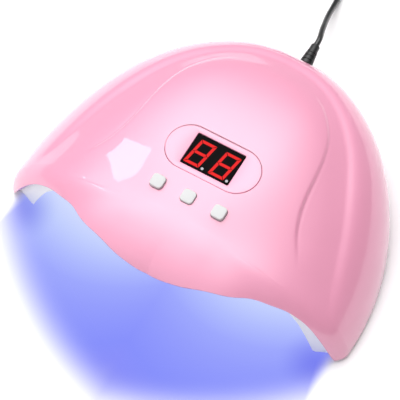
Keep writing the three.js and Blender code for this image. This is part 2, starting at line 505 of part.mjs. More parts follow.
// ---------- USB plug and coil tie ----------
const plugDir = new THREE.Vector3(-0.985, -0.17, 0).normalize();
const plugFrame = frameAt(new THREE.Vector3(PLUG.x, PLUG.y, PLUG.h / 2 + 0.1), plugDir, plugDir.clone().cross(new THREE.Vector3(0, 0, 1)).negate());
{
  const body = solid(slab(roundedRect(PLUG.w, PLUG.h, 1.6, 3), 0, PLUG.l), plugFrame);
  const neck = turned([[0, -8.4], [2.1, -8.4], [2.6, -4], [3.1, 0.2], [0, 0.2]], 16);
  neck.applyMatrix4(UP);
  const pocket = solid(slab(roundedRect(12.4, 4.9, 0.4, 1), PLUG.l - 3, PLUG.l + 1), plugFrame);
  add("usb_plug_body", geometryOf(body.add(solid(neck, plugFrame)).subtract(pocket)), 0x0e0e10, 0.45);
  const outer = solid(slab(roundedRect(11.8, 4.3, 0.4, 1), PLUG.l - 2.6, PLUG.l + 11.6), plugFrame);
  const hollow = solid(slab(roundedRect(11.1, 3.6, 0.2, 1), PLUG.l + 2, PLUG.l + 12), plugFrame);
  const tongue = solid(slab(roundedRect(11.4, 1.5, 0.2, 1), PLUG.l + 1, PLUG.l + 10.6), plugFrame.clone().multiply(new THREE.Matrix4().makeTranslation(0, 0.9, 0)));
  add("cord_tail", cordTube([[-0.985 * -9.0, -0.17 * -9.0], [-0.985 * -11, -0.17 * -11], [-0.985 * -13.0, -0.17 * -13.0]].map(([dx, dy]) => new THREE.Vector3(PLUG.x + dx, PLUG.y + dy, PLUG.h / 2 + 0.1)), 2), 0x0b0b0c, 0.3);
  add("usb_plug_shell", geometryOf(outer.subtract(hollow.subtract(tongue))), 0xc4c7cc, 0.25, 0.95);
}
{
  // a flat band round the bundle, open enough to clear the coil all round
  const a = deg(TIE.angle), c = new THREE.Vector3(COIL.x + COIL.r * Math.cos(a), COIL.y + COIL.r * Math.sin(a), COIL.z);
  const f = frameAt(c, new THREE.Vector3(-Math.sin(a), Math.cos(a), 0), new THREE.Vector3(Math.cos(a), Math.sin(a), 0));
  const out = slab(roundedRect(2 * COIL.w + 2.2, COIL.h + 1.3, 4.4, 4), -TIE.width / 2, TIE.width / 2);
  const hole = slab(roundedRect(2 * COIL.w + 0.8, COIL.h + 0.6, 4.0, 4), -TIE.width, TIE.width);
  add("cord_tie", geometryOf(solid(out, f).subtract(solid(hole, f))), 0x2a2a2c, 0.8);
}

export default part;
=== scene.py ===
# UV LED nail lamp: the looks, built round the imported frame. Metres, +Z up, hand opening towards -Y.
import math

import bmesh
import bpy
import numpy as np
from mathutils import Matrix, Vector


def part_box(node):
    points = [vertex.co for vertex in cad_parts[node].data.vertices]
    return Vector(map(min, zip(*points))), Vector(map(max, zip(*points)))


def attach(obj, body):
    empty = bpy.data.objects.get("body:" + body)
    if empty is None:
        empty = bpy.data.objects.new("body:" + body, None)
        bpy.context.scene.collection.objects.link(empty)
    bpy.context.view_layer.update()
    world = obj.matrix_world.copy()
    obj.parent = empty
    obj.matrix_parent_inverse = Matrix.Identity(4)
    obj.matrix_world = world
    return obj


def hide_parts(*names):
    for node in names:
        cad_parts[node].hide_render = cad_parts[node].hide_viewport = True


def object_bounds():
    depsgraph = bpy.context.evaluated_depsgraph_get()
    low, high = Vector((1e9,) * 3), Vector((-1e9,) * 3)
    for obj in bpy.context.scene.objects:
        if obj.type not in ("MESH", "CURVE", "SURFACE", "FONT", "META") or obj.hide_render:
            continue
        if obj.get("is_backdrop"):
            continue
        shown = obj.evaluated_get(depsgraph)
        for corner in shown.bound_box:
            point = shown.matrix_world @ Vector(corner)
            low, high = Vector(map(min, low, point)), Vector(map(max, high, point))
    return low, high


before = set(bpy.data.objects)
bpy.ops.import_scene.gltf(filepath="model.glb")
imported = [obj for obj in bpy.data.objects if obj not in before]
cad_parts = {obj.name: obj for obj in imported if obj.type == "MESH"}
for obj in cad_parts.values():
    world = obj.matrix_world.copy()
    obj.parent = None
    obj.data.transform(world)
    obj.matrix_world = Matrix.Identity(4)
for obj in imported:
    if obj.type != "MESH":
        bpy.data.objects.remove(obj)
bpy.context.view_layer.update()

MM = 0.001
MY = 51.042          # middle of the lamp in the outline's own millimetres
scene = bpy.context.scene
scene.view_settings.view_transform = "Standard"
scene.view_settings.look = "None"

# ------------------------------------------------------------------ camera
AZ, EL = math.radians(30.75), math.radians(58.407)
AIM = Vector((0.0, (50 - MY) * MM, 30 * MM))
back = Vector((math.sin(AZ) * math.cos(EL), -math.cos(AZ) * math.cos(EL), math.sin(EL)))
right = Vector((math.cos(AZ), math.sin(AZ), 0.0))
upv = back.cross(right)
cam_data = bpy.data.cameras.new("camera")
cam_data.sensor_width = 36.0
cam_data.lens = 2.054 * 1200 * 36 / 400
cam_data.shift_x = -24.738 / 400
cam_data.shift_y = -31.507 / 400
cam_data.clip_start, cam_data.clip_end = 0.05, 20.0
cam = bpy.data.objects.new("camera", cam_data)
scene.collection.objects.link(cam)
cam.matrix_world = Matrix((
    (right.x, upv.x, back.x, AIM.x + 1.2 * back.x),
    (right.y, upv.y, back.y, AIM.y + 1.2 * back.y),
    (right.z, upv.z, back.z, AIM.z + 1.2 * back.z),
    (0, 0, 0, 1)))
scene.camera = cam

# ------------------------------------------------------------------ small helpers
def link(o):
    scene.collection.objects.link(o)
    return o

def mesh_object(name, verts, faces, material=None, smooth_angle=None):
    me = bpy.data.meshes.new(name)
    me.from_pydata([tuple(map(float, v)) for v in verts], [], [tuple(map(int, f)) for f in faces])
    me.validate()
    me.update()
    if smooth_angle is not None:
        me.polygons.foreach_set("use_smooth", [True] * len(me.polygons))
        me.set_sharp_from_angle(angle=math.radians(smooth_angle))
    o = link(bpy.data.objects.new(name, me))
    if material is not None:
        me.materials.append(material)
    return o

def grid_faces(idx, flip=False, close=False):
    """Quads over an index table of rows and columns."""
    n, m = idx.shape
    out = []
    cols = m if close else m - 1
    for i in range(n - 1):
        for j in range(cols):
            k = (j + 1) % m
            q = (idx[i, j], idx[i, k], idx[i + 1, k], idx[i + 1, j])
            out.append(q[::-1] if flip else q)
    return out

def outward(o):
    """Faces of a closed mesh made to face out."""
    bm = bmesh.new(); bm.from_mesh(o.data)
    bmesh.ops.recalc_face_normals(bm, faces=bm.faces)
    if bm.calc_volume(signed=True) < 0:
        bmesh.ops.reverse_faces(bm, faces=bm.faces)
    bm.to_mesh(o.data); bm.free()
    o.data.update()
    return o

def apply_modifiers(o):
    dg = bpy.context.evaluated_depsgraph_get()
    me = bpy.data.meshes.new_from_object(o.evaluated_get(dg), depsgraph=dg)
    old = o.data
    o.modifiers.clear()
    o.data = me
    me.name = o.name
    if old.users == 0:
        bpy.data.meshes.remove(old)
    return o

def cut(o, tools, operation="DIFFERENCE", solver="MANIFOLD"):
    for t in tools:
        m = o.modifiers.new("cut", "BOOLEAN")
        m.operation, m.solver, m.object = operation, solver, t
        apply_modifiers(o)
        bpy.data.objects.remove(t)
    return o

def smooth_by_angle(o, degrees=35):
    me = o.data
    me.polygons.foreach_set("use_smooth", [True] * len(me.polygons))
    me.set_sharp_from_angle(angle=math.radians(degrees))
    return o

def rounded_rect(w, h, r, n=8):
    pts = []
    for cx, cy, a0 in ((w/2-r, h/2-r, 0), (-w/2+r, h/2-r, 90), (-w/2+r, -h/2+r, 180), (w/2-r, -h/2+r, 270)):
        for i in range(n + 1):
            a = math.radians(a0 + 90 * i / n)
            pts.append((cx + r * math.cos(a), cy + r * math.sin(a)))
    return pts

def loft(name, rings, material=None, smooth_angle=35, caps=True):
    """A closed solid through rings with equal numbers of points."""
    verts, faces = [], []
    n = len(rings[0])
    for ring in rings:
        verts.extend(ring)
    for k in range(len(rings) - 1):
        for i in range(n):
            j = (i + 1) % n
            faces.append((k*n+i, k*n+j, (k+1)*n+j, (k+1)*n+i))
    if caps:
        for k, flip in ((0, True), (len(rings) - 1, False)):
            c = np.mean(np.array(rings[k], float), axis=0)
            verts.append(tuple(c)); ci = len(verts) - 1
            for i in range(n):
                j = (i + 1) % n
                faces.append((ci, k*n+j, k*n+i) if flip else (ci, k*n+i, k*n+j))
    o = mesh_object(name, verts, faces, material)
    outward(o)
    smooth_by_angle(o, smooth_angle)
    return o

def in_frame(o, m):
    o.data.transform(m)
    o.data.update()
    return o

def prism(name, outline, z0, z1, m=None):
    """A plain extruded tool for cuts, in millimetres."""
    rings = [[(x, y, z0) for x, y in outline], [(x, y, z1) for x, y in outline]]
    o = loft(name, rings)
    in_frame(o, (m or Matrix.Identity(4)))
    in_frame(o, Matrix.Scale(MM, 4))
    return o

def lathe(name, profile, segments=48, material=None, smooth_angle=35):
    """A solid of revolution about Z from (radius, height) pairs, closed on the axis."""
    verts, faces = [], []
    rows = []
    for r, z in profile:
        if r < 1e-6:
            verts.append((0, 0, z)); rows.append([len(verts) - 1] * segments)
        else:
            row = []
            for i in range(segments):
                a = 2 * math.pi * i / segments
                verts.append((r * math.cos(a), r * math.sin(a), z)); row.append(len(verts) - 1)
            rows.append(row)
    for a, b in zip(rows[:-1], rows[1:]):
        for i in range(segments):
            j = (i + 1) % segments
            f = [a[i], a[j], b[j], b[i]]
            f = [v for k, v in enumerate(f) if v != f[k - 1]]
            if len(f) > 2:
                faces.append(f)
    o = mesh_object(name, verts, faces, material)
    outward(o)
    smooth_by_angle(o, smooth_angle)
    return o

def frame_at(p, z, hint=(1, 0, 0)):
    k = Vector(z).normalized()
    j = k.cross(Vector(hint)).normalized()
    i = j.cross(k)
    return Matrix(((i.x, j.x, k.x, p[0]), (i.y, j.y, k.y, p[1]), (i.z, j.z, k.z, p[2]), (0, 0, 0, 1)))

TO_M = Matrix.Scale(MM, 4) @ Matrix.Translation((0, -MY, 0))   # outline millimetres to the frame's metres

# ------------------------------------------------------------------ materials
def shader(name):
    m = bpy.data.materials.new(name)
    m.use_nodes = True
    nt = m.node_tree
    return m, nt, nt.nodes["Principled BSDF"]

def moulded(name, colour, roughness, grain=0.06, grain_scale=900.0, bump=0.02, coat=0.0, coat_roughness=0.05,
            metallic=0.0, specular=0.5, rough_var=0.05, stretch=(1, 1, 1), second=None):
    """Moulded or cast surface: faint mottling in colour and roughness, and a fine surface grain."""
    m, nt, bsdf = shader(name)
    coords = nt.nodes.new("ShaderNodeTexCoord")
    mapping = nt.nodes.new("ShaderNodeMapping"); mapping.inputs["Scale"].default_value = stretch
    nt.links.new(coords.outputs["Object"], mapping.inputs["Vector"])
    cloud = nt.nodes.new("ShaderNodeTexNoise"); cloud.inputs["Scale"].default_value = 24.0; cloud.inputs["Detail"].default_value = 3.0
    fine = nt.nodes.new("ShaderNodeTexNoise"); fine.inputs["Scale"].default_value = grain_scale; fine.inputs["Detail"].default_value = 2.0
    nt.links.new(mapping.outputs["Vector"], cloud.inputs["Vector"])
    nt.links.new(mapping.outputs["Vector"], fine.inputs["Vector"])
    mix = nt.nodes.new("ShaderNodeMix"); mix.data_type = "RGBA"
    dark = second or tuple(c * (1 - grain) for c in colour)
    mix.inputs["A"].default_value = (*dark, 1.0)
    mix.inputs["B"].default_value = (*colour, 1.0)
    nt.links.new(cloud.outputs["Fac"], mix.inputs["Factor"])
    nt.links.new(mix.outputs["Result"], bsdf.inputs["Base Color"])
    rr = nt.nodes.new("ShaderNodeMapRange")
    rr.inputs["To Min"].default_value = max(0.02, roughness - rough_var)
    rr.inputs["To Max"].default_value = min(1.0, roughness + rough_var)
    nt.links.new(fine.outputs["Fac"], rr.inputs["Value"])
    nt.links.new(rr.outputs["Result"], bsdf.inputs["Roughness"])
    bp = nt.nodes.new("ShaderNodeBump"); bp.inputs["Strength"].default_value = bump; bp.inputs["Distance"].default_value = 0.0002
    nt.links.new(fine.outputs["Fac"], bp.inputs["Height"])
    nt.links.new(bp.outputs["Normal"], bsdf.inputs["Normal"])
    bsdf.inputs["Metallic"].default_value = metallic
    bsdf.inputs["Specular IOR Level"].default_value = specular
    bsdf.inputs["Coat Weight"].default_value = coat
    bsdf.inputs["Coat Roughness"].default_value = coat_roughness
    return m

PINK = (0.79, 0.312, 0.460)
M = {
    "pink": moulded("pink_gloss", PINK, 0.33, grain=0.03, bump=0.0, coat=1.0, coat_roughness=0.035, rough_var=0.03, specular=0.55),
    "liner": moulded("white_liner", (0.90, 0.91, 0.905), 0.34, grain=0.03, bump=0.03),
    "board_white": moulded("white_board", (0.80, 0.80, 0.76), 0.5),
    "sensor_clear": moulded("sensor_clear", (0.70, 0.74, 0.78), 0.12, coat=0.5),
    "sensor_dark": moulded("sensor_dark", (0.02, 0.02, 0.025), 0.15, coat=0.5),
    "window": moulded("window_black", (0.0022, 0.0022, 0.0026), 0.06, grain=0.2, bump=0.0, specular=0.02, rough_var=0.01),
    "module": moulded("module_black", (0.02, 0.02, 0.024), 0.45, bump=0.1),
    "button": moulded("button_white", (0.60, 0.605, 0.608), 0.36, grain=0.02, bump=0.01, coat=0.1, coat_roughness=0.2, specular=0.3),
    "steel": moulded("zinc_steel", (0.58, 0.60, 0.62), 0.32, metallic=1.0, grain_scale=400, stretch=(1, 1, 12), bump=0.06),
    "pcb": moulded("circuit_green", (0.02, 0.20, 0.075), 0.35, grain=0.25, grain_scale=500, bump=0.05),
    "connector": moulded("connector_white", (0.82, 0.80, 0.70), 0.45),
    "cord": moulded("cord_black", (0.010, 0.010, 0.011), 0.30, grain=0.2, bump=0.04, coat=0.35, coat_roughness=0.15),
    "relief": moulded("relief_black", (0.009, 0.009, 0.010), 0.36, grain=0.2, bump=0.05),
    "foot": moulded("foot_rubber", (0.035, 0.035, 0.037), 0.85, grain=0.25, bump=0.3),
    "tie": moulded("tie_woven", (0.030, 0.030, 0.032), 0.9, grain=0.4, grain_scale=1400, bump=0.9, stretch=(1, 1, 3)),
    "plug_metal": moulded("plug_nickel", (0.72, 0.72, 0.71), 0.22, metallic=1.0, grain_scale=300, stretch=(14, 1, 1), bump=0.04),
}

def glowing(name, colour, strength, base=(0.8, 0.8, 0.85), roughness=0.3):
    m, nt, bsdf = shader(name)
    noise = nt.nodes.new("ShaderNodeTexNoise"); noise.inputs["Scale"].default_value = 260.0
    coords = nt.nodes.new("ShaderNodeTexCoord")
    nt.links.new(coords.outputs["Object"], noise.inputs["Vector"])
    mix = nt.nodes.new("ShaderNodeMix"); mix.data_type = "RGBA"
    mix.inputs["A"].default_value = (*[c * 0.9 for c in colour], 1)
    mix.inputs["B"].default_value = (*colour, 1)
    nt.links.new(noise.outputs["Fac"], mix.inputs["Factor"])
    nt.links.new(mix.outputs["Result"], bsdf.inputs["Emission Color"])
    bsdf.inputs["Emission Strength"].default_value = strength
    bsdf.inputs["Base Color"].default_value = (*base, 1)
    bsdf.inputs["Roughness"].default_value = roughness
    return m

M["led"] = glowing("led_violet", (0.30, 0.28, 1.0), 6.0)
M["digit"] = glowing("digit_red", (0.86, 0.014, 0.014), 1.0, base=(0.05, 0.004, 0.004), roughness=0.4)
M["digit"].node_tree.nodes["Principled BSDF"].inputs["Specular IOR Level"].default_value = 0.05
M["dot"] = moulded("dot_unlit", (0.40, 0.39, 0.43), 0.4)

# ------------------------------------------------------------------ cord first: route in outline millimetres
CORD_D = 3.0
EXIT_Y = 125.02662
AXIS = np.array([-0.0595961, 0.9932686, 0.0993269])
EXIT = np.array([0.0, EXIT_Y, 17.5])
RELIEF_END = EXIT + 17.5 * AXIS
COIL = {"x": -27.0, "y": 217.0, "r": 17.5}
PLUG_AT = np.array([-58.3, 229.1, 3.9])
PLUG_DIR = np.array([-0.985, -0.17, 0.0]); PLUG_DIR /= np.linalg.norm(PLUG_DIR)

def catmull(points, samples):
    """Centripetal Catmull-Rom through the points, sampled evenly by length."""
    P = np.array(points, float)
    P = np.vstack([2 * P[0] - P[1], P, 2 * P[-1] - P[-2]])
    out = []
    for i in range(1, len(P) - 2):
        p0, p1, p2, p3 = P[i - 1], P[i], P[i + 1], P[i + 2]
        t0 = 0.0; t1 = t0 + np.linalg.norm(p1 - p0) ** 0.5; t2 = t1 + np.linalg.norm(p2 - p1) ** 0.5; t3 = t2 + np.linalg.norm(p3 - p2) ** 0.5
        for t in np.linspace(t1, t2, 60, endpoint=False):
            a1 = (t1-t)/(t1-t0)*p0 + (t-t0)/(t1-t0)*p1
            a2 = (t2-t)/(t2-t1)*p1 + (t-t1)/(t2-t1)*p2
            a3 = (t3-t)/(t3-t2)*p2 + (t-t2)/(t3-t2)*p3
            b1 = (t2-t)/(t2-t0)*a1 + (t-t0)/(t2-t0)*a2
            b2 = (t3-t)/(t3-t1)*a2 + (t-t1)/(t3-t1)*a3
            out.append((t2-t)/(t2-t1)*b1 + (t-t1)/(t2-t1)*b2)
    out.append(P[-2])
    out = np.array(out)
    d = np.r_[0, np.cumsum(np.linalg.norm(np.diff(out, axis=0), axis=1))]
    s = np.linspace(0, d[-1], samples)
    return np.stack([np.interp(s, d, out[:, k]) for k in range(3)], -1)

free = catmull([
    RELIEF_END - 6.0 * AXIS, RELIEF_END, RELIEF_END + 3.6 * AXIS,
    (-3.9, EXIT_Y + 29.2, 16.5), (-7.8, EXIT_Y + 42.4, 9.4), (-11.0, EXIT_Y + 58, 2.4), (-12.8, EXIT_Y + 70, 1.62),
    (COIL["x"] + 16.6, COIL["y"] - 17.2, 1.62)], 24)
# eight turns, each slot a diameter from the next; the cord changes slot under the tie
SLOTS = [(20.5, 2.1), (19.0, 4.7), (17.5, 2.1), (14.5, 2.1), (16.0, 4.7), (14.5, 7.3), (17.5, 7.3), (20.5, 7.3)]
TIE_ANGLE = 60.0
START, LEAVE = -18.0, 108.0
turn_pts = []
angle = START
total = (TIE_ANGLE - START) + 360.0 * 7 + (LEAVE - TIE_ANGLE)
steps = int(total / 15)
for k in range(steps + 1):
    a = START + total * k / steps
    lap = (a - TIE_ANGLE) / 360.0 + 1          # which slot, counted at the tie
    n = int(math.floor(lap))
    f = lap - n                                # 0 just past the tie
    n = min(max(n, 0), 7)
    r, z = SLOTS[n]
    half = 50 / 360.0
    def ease(t):
        t = min(1, max(0, t)); return t * t * (3 - 2 * t)
    if f < half and n > 0:
        w = ease(0.5 - 0.5 * f / half); r = r + (SLOTS[n-1][0] - r) * w; z = z + (SLOTS[n-1][1] - z) * w
    if f > 1 - half and n < 7:
        w = ease(0.5 - 0.5 * (1 - f) / half); r = r + (SLOTS[n+1][0] - r) * w; z = z + (SLOTS[n+1][1] - z) * w
    q = math.radians(a)
    turn_pts.append((COIL["x"] + r * math.cos(q), COIL["y"] + r * math.sin(q), z))
turn_pts = np.array(turn_pts)
tail_end = PLUG_AT - 8.2 * PLUG_DIR
q0 = turn_pts[-1]; d0 = turn_pts[-1] - turn_pts[-2]; d0[2] = 0; d0 /= np.linalg.norm(d0)
c1, c2 = q0 + 6.5 * d0, tail_end - 6.5 * PLUG_DIR
leave = np.array([(1-t)**3 * q0 + 3*t*(1-t)**2 * c1 + 3*t*t*(1-t) * c2 + t**3 * tail_end for t in np.linspace(0, 1, 6)])
route = np.vstack([free, turn_pts, leave[1:]])
route_m = (route - np.array([0, MY, 0])) * MM

cu = bpy.data.curves.new("power_cord", "CURVE")
cu.dimensions = "3D"
sp = cu.splines.new("BEZIER")
sp.bezier_points.add(len(route_m) - 1)
for p, q in zip(sp.bezier_points, route_m):
    p.co = q
    p.handle_left_type = p.handle_right_type = "AUTO"
sp.resolution_u = 5
cu.bevel_depth = CORD_D / 2 * MM
cu.bevel_resolution = 6
cu.use_fill_caps = True
cord = link(bpy.data.objects.new("power_cord", cu))
cu.materials.append(M["cord"])
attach(cord, "lamp")
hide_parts("cord", "cord_coil", "cord_tail")

# ------------------------------------------------------------------ the dome's shape, in outline millimetres
HALF_WIDTH, CENTRE_Y, LEAN, FRONT_DEPTH, REAR_DEPTH, DOME_HEIGHT = 97.17, 5.04, 0.062, 31.4, 117.52, 53.65
FRONT_POWER, SIDE_POWER, REAR_POWER = 3.616, 1.951, 4.2
RISE = np.array([[-40, 0.865], [-18, 0.865], [-10, 0.877], [0, 0.912], [8, 0.937], [16, 0.961], [30, 0.997], [46, 1.033],
                 [62, 1.055], [80, 1.053], [95, 1.026], [108, 1.0], [125, 1.0], [140, 1.0]])
RISE_X = (22.0, 62.0, 0.85)
OUTLINE = [(-75, 0.185), (-45, -0.145), (-15, -0.014), (15, -0.007), (45, 0.014), (75, 0.02)]
EDGE_X = np.array([0, 16, 32, 46, 58, 68, 78, 86, 91.4])
EDGE_Z = np.array([36.2, 37.85, 39.6, 38.3, 34.6, 31, 23.8, 13, 1.2])
SHELL_THICK, SHELL_BASE = 2.4, 1.2
LINER_THICK, LINER_INSET, LINER_BASE, LINER_TOP = 1.5, 3.5, 1.5, 39.6
INSERT = {"y": 39.2, "z": 53.9, "tilt": 5.1, "length": 50.0, "width": 24.0, "thick": 2.0}
BUTTON = {"y": 16.3, "z": 51.28808, "pitch": 16.9, "size": 6.8, "corner": 1.9, "proud": 1.7}
BUTTON_AXIS = Vector((0, -0.14975, 0.98872))

def hermite(xs, zs, x, end_slope=0.0):
    n = len(xs)
    m = np.zeros(n)
    m[1:-1] = (zs[2:] - zs[:-2]) / (xs[2:] - xs[:-2])
    m[-1] = end_slope
    xc = np.clip(x, xs[0], xs[-1])
    i = np.clip(np.searchsorted(xs, xc, side="right") - 1, 0, n - 2)
    h = xs[i + 1] - xs[i]; t = (xc - xs[i]) / h; t2 = t * t; t3 = t2 * t
    return (2*t3 - 3*t2 + 1) * zs[i] + (t3 - 2*t2 + t) * h * m[i] + (-2*t3 + 3*t2) * zs[i+1] + (t3 - t2) * h * m[i+1]

def smooth(t):
    t = np.clip(t, 0, 1); return t * t * (3 - 2 * t)

def edge_height(x):
    a = np.abs(x)
    z = hermite(EDGE_X, EDGE_Z, a, (EDGE_Z[-1] - EDGE_Z[-2]) / (EDGE_X[-1] - EDGE_X[-2]))
    return np.where(a >= EDGE_X[-1], -1.0, z)

def outline_scale(phi):
    p = np.degrees(phi); p = (p + 90) % 360 - 90; p = np.where(p > 90, 180 - p, p)
    s = np.ones_like(p)
    for k, c in OUTLINE:
        s = s + c * np.exp(-((p - k) / 24) ** 2)
    return s

def crown(x, y):
    line = hermite(RISE[:, 0], RISE[:, 1], y)
    return 1 + (line - 1) * (1 - RISE_X[2] * smooth((np.abs(x) - RISE_X[0]) / (RISE_X[1] - RISE_X[0])))

def dome(phi, tau, inset=0.0):
    s, c = np.sin(phi), np.cos(phi)
    m = SIDE_POWER + np.where(s > 0, REAR_POWER - SIDE_POWER, FRONT_POWER - SIDE_POWER) * s * s
    ring = np.maximum(0, np.cos(tau)) ** (2 / m)
    z = (DOME_HEIGHT - inset) * np.maximum(0, np.sin(tau)) ** (2 / m)
    o = outline_scale(phi)
    x = (HALF_WIDTH * o - inset) * ring * c
    y = CENTRE_Y + LEAN * z + (np.where(s > 0, REAR_DEPTH, FRONT_DEPTH) * o - inset) * ring * s
    return np.stack([x, y, z * crown(x, y)], -1)

def cut_height(p, drop, base):
    return np.where(p[..., 1] < 12, np.maximum(base, edge_height(p[..., 0]) - drop), base)

def tau_at(phi, inset, height):
    ts = np.arange(0.002, np.pi / 2, 0.004)
    P = dome(phi[:, None], ts[None, :], inset)
    above = P[..., 2] >= height(P)
    first = np.where(above.any(1), above.argmax(1), len(ts) - 1)
    b = ts[first]; a = np.where(first > 0, ts[np.maximum(first - 1, 0)], 0.0)
    for _ in range(30):
        t = (a + b) / 2; p = dome(phi, t, inset); up = p[..., 2] >= height(p)
        b = np.where(up, t, b); a = np.where(up, a, t)
    return b

def surface_table(inset, trim, n_phi=720, n_s=240):
    """tau as a function of azimuth and of the share of the way from the top down to trim above the edge."""
    phi = np.linspace(0, 2 * np.pi, n_phi, endpoint=False)
    t0 = tau_at(phi, inset, lambda p: cut_height(p, 0, SHELL_BASE))
    u = np.linspace(0, 1, 400)
    tau = np.pi / 2 - (np.pi / 2 - t0)[:, None] * u[None, :]
    P = dome(phi[:, None], tau, inset)
    d = np.concatenate([np.zeros((n_phi, 1)), np.cumsum(np.linalg.norm(np.diff(P, axis=1), axis=2), axis=1)], 1)
    s = np.linspace(0, 1, n_s)
    out = np.zeros((n_phi, n_s))
    for i in range(n_phi):
        out[i] = np.interp(s * (d[i, -1] - trim), d[i], tau[i])
    return out

def table_lookup(tab, phi, s):
    n_phi, n_s = tab.shape
    f = (phi % (2 * np.pi)) / (2 * np.pi) * n_phi
    i0 = np.floor(f).astype(int) % n_phi; i1 = (i0 + 1) % n_phi; wf = f - np.floor(f)
    g = np.clip(s, 0, 1) * (n_s - 1)
    j0 = np.minimum(np.floor(g).astype(int), n_s - 2); wg = g - j0
    return ((tab[i0, j0] * (1-wf) + tab[i1, j0] * wf) * (1-wg) + (tab[i0, j0+1] * (1-wf) + tab[i1, j0+1] * wf) * wg)

def disk_grid(n):
    """A square grid mapped onto a disk: azimuth, radius and the loop of its border."""
    u = np.linspace(-1, 1, n)
    U, V = np.meshgrid(u, u, indexing="ij")
    X = U * np.sqrt(1 - V * V / 2); Y = V * np.sqrt(1 - U * U / 2)
    rho = np.minimum(1, np.hypot(X, Y)); phi = np.arctan2(Y, X)
    idx = np.arange(n * n).reshape(n, n)
    loop = list(idx[:, 0]) + list(idx[-1, 1:]) + list(idx[-2::-1, -1]) + list(idx[0, -2:0:-1])
    return phi.ravel(), rho.ravel(), idx, np.array(loop)

# curves on the top, right half, in plan millimetres, with the strength of the feature at each point
S_LINE = np.array([[60.3, 15.0, 0.0], [57, 20.5, 0.30], [52.6, 28, 0.80], [49.2, 37.5, 1.0], [47.3, 47, 1.0], [46.0, 58, 0.85], [44.0, 70, 0.62],
                   [40.6, 80.5, 0.5], [35.2, 89.0, 0.42], [28.6, 96.0, 0.30], [20, 101.0, 0.0]])
CREST = np.array([[84, 0, 0.0], [80.5, 9, 0.35], [77, 19, 0.65], [73, 31, 0.9], [69, 43, 1.0], [64, 55, 1.0], [58.2, 67, 1.0], [51.6, 79, 1.0], [44, 89, 1.0],
                  [36, 97, 1.0], [26, 104, 1.0], [14, 109, 1.0], [0, 111, 1.0]])

def dense_curve(c, n=400):
    t = np.arange(len(c)); ts = np.linspace(0, len(c) - 1, n)
    i = np.clip(np.floor(ts).astype(int), 0, len(c) - 2); f = (ts - i)[:, None]
    m = np.gradient(c, axis=0)
    f2, f3 = f * f, f * f * f
    return (2*f3 - 3*f2 + 1) * c[i] + (f3 - 2*f2 + f) * m[i] + (-2*f3 + 3*f2) * c[i+1] + (f3 - f2) * m[i+1]

def to_curve(x, y, curve):
    """Signed plan distance (positive outwards, away from the middle of the top) and the strength at the nearest point."""
    q = np.stack([np.abs(x), y], -1)
    best = np.full(len(q), 1e9); sign = np.ones(len(q)); amp = np.zeros(len(q))
    a, b = curve[:-1], curve[1:]
    for s in range(0, len(q), 20000):
        Q = q[s:s+20000]
        d = b[:, :2] - a[:, :2]; L = (d * d).sum(1)
        t = np.clip(((Q[:, None, :] - a[None, :, :2]) * d[None]).sum(2) / L[None], 0, 1)
        C = a[None, :, :2] + t[..., None] * d[None]
        D = np.linalg.norm(Q[:, None, :] - C, axis=2)
        k = D.argmin(1); r = np.arange(len(Q))
        best[s:s+20000] = D[r, k]
        v = Q - C[r, k]; dd = d[k]
        cross = dd[:, 0] * v[:, 1] - dd[:, 1] * v[:, 0]
        sign[s:s+20000] = np.where(cross < 0, 1.0, -1.0)
        amp[s:s+20000] = a[k, 2] + (b[k, 2] - a[k, 2]) * t[r, k]
    return best * sign, amp

STEP, STEP_W = 1.0, 0.8          # the raised middle's edge
FOLD, FOLD_IN, FOLD_OUT = 1.5, 11.0, 3.4   # the soft fold that rounds the top off from the rear and side skirt

def features(P, N):
    x, y = P[:, 0], P[:, 1]
    ds, ams = to_curve(x, y, dense_curve(S_LINE, 240))
    dc, amc = to_curve(x, y, dense_curve(CREST, 240))
    # outside of the S line the surface lies lower close to the line and comes back further out
    outside = smooth((ds / STEP_W + 1) / 2)
    h = -STEP * ams * outside * np.exp(-(np.maximum(ds, 0) / 15.0) ** 2)
    h -= 0.22 * ams * np.exp(-((ds - 0.4) / 0.9) ** 2)
    h -= FOLD * amc * np.where(dc < 0, np.exp(-(dc / FOLD_IN) ** 2), np.exp(-(dc / FOLD_OUT) ** 2))
    return P + N * h[:, None]

def grid_normals(P, idx):
    G = P[idx.ravel()].reshape(idx.shape + (3,))
    du = np.gradient(G, axis=0); dv = np.gradient(G, axis=1)
    N = np.cross(du, dv); N /= np.linalg.norm(N, axis=-1, keepdims=True) + 1e-12
    out = np.zeros_like(P); out[idx.ravel()] = N.reshape(-1, 3)
    return out

def relax(P, idx, weight, rounds):
    """Evens out the surface where weight says, without touching the border."""
    G = P[idx.ravel()].reshape(idx.shape + (3,)).copy(); W = weight[idx.ravel()].reshape(idx.shape)[1:-1, 1:-1, None]
    for _ in range(rounds):
        avg = (G[:-2, 1:-1] + G[2:, 1:-1] + G[1:-1, :-2] + G[1:-1, 2:]) / 4
        G[1:-1, 1:-1] += (avg - G[1:-1, 1:-1]) * 0.5 * W
    out = P.copy(); out[idx.ravel()] = G.reshape(-1, 3)
    return out

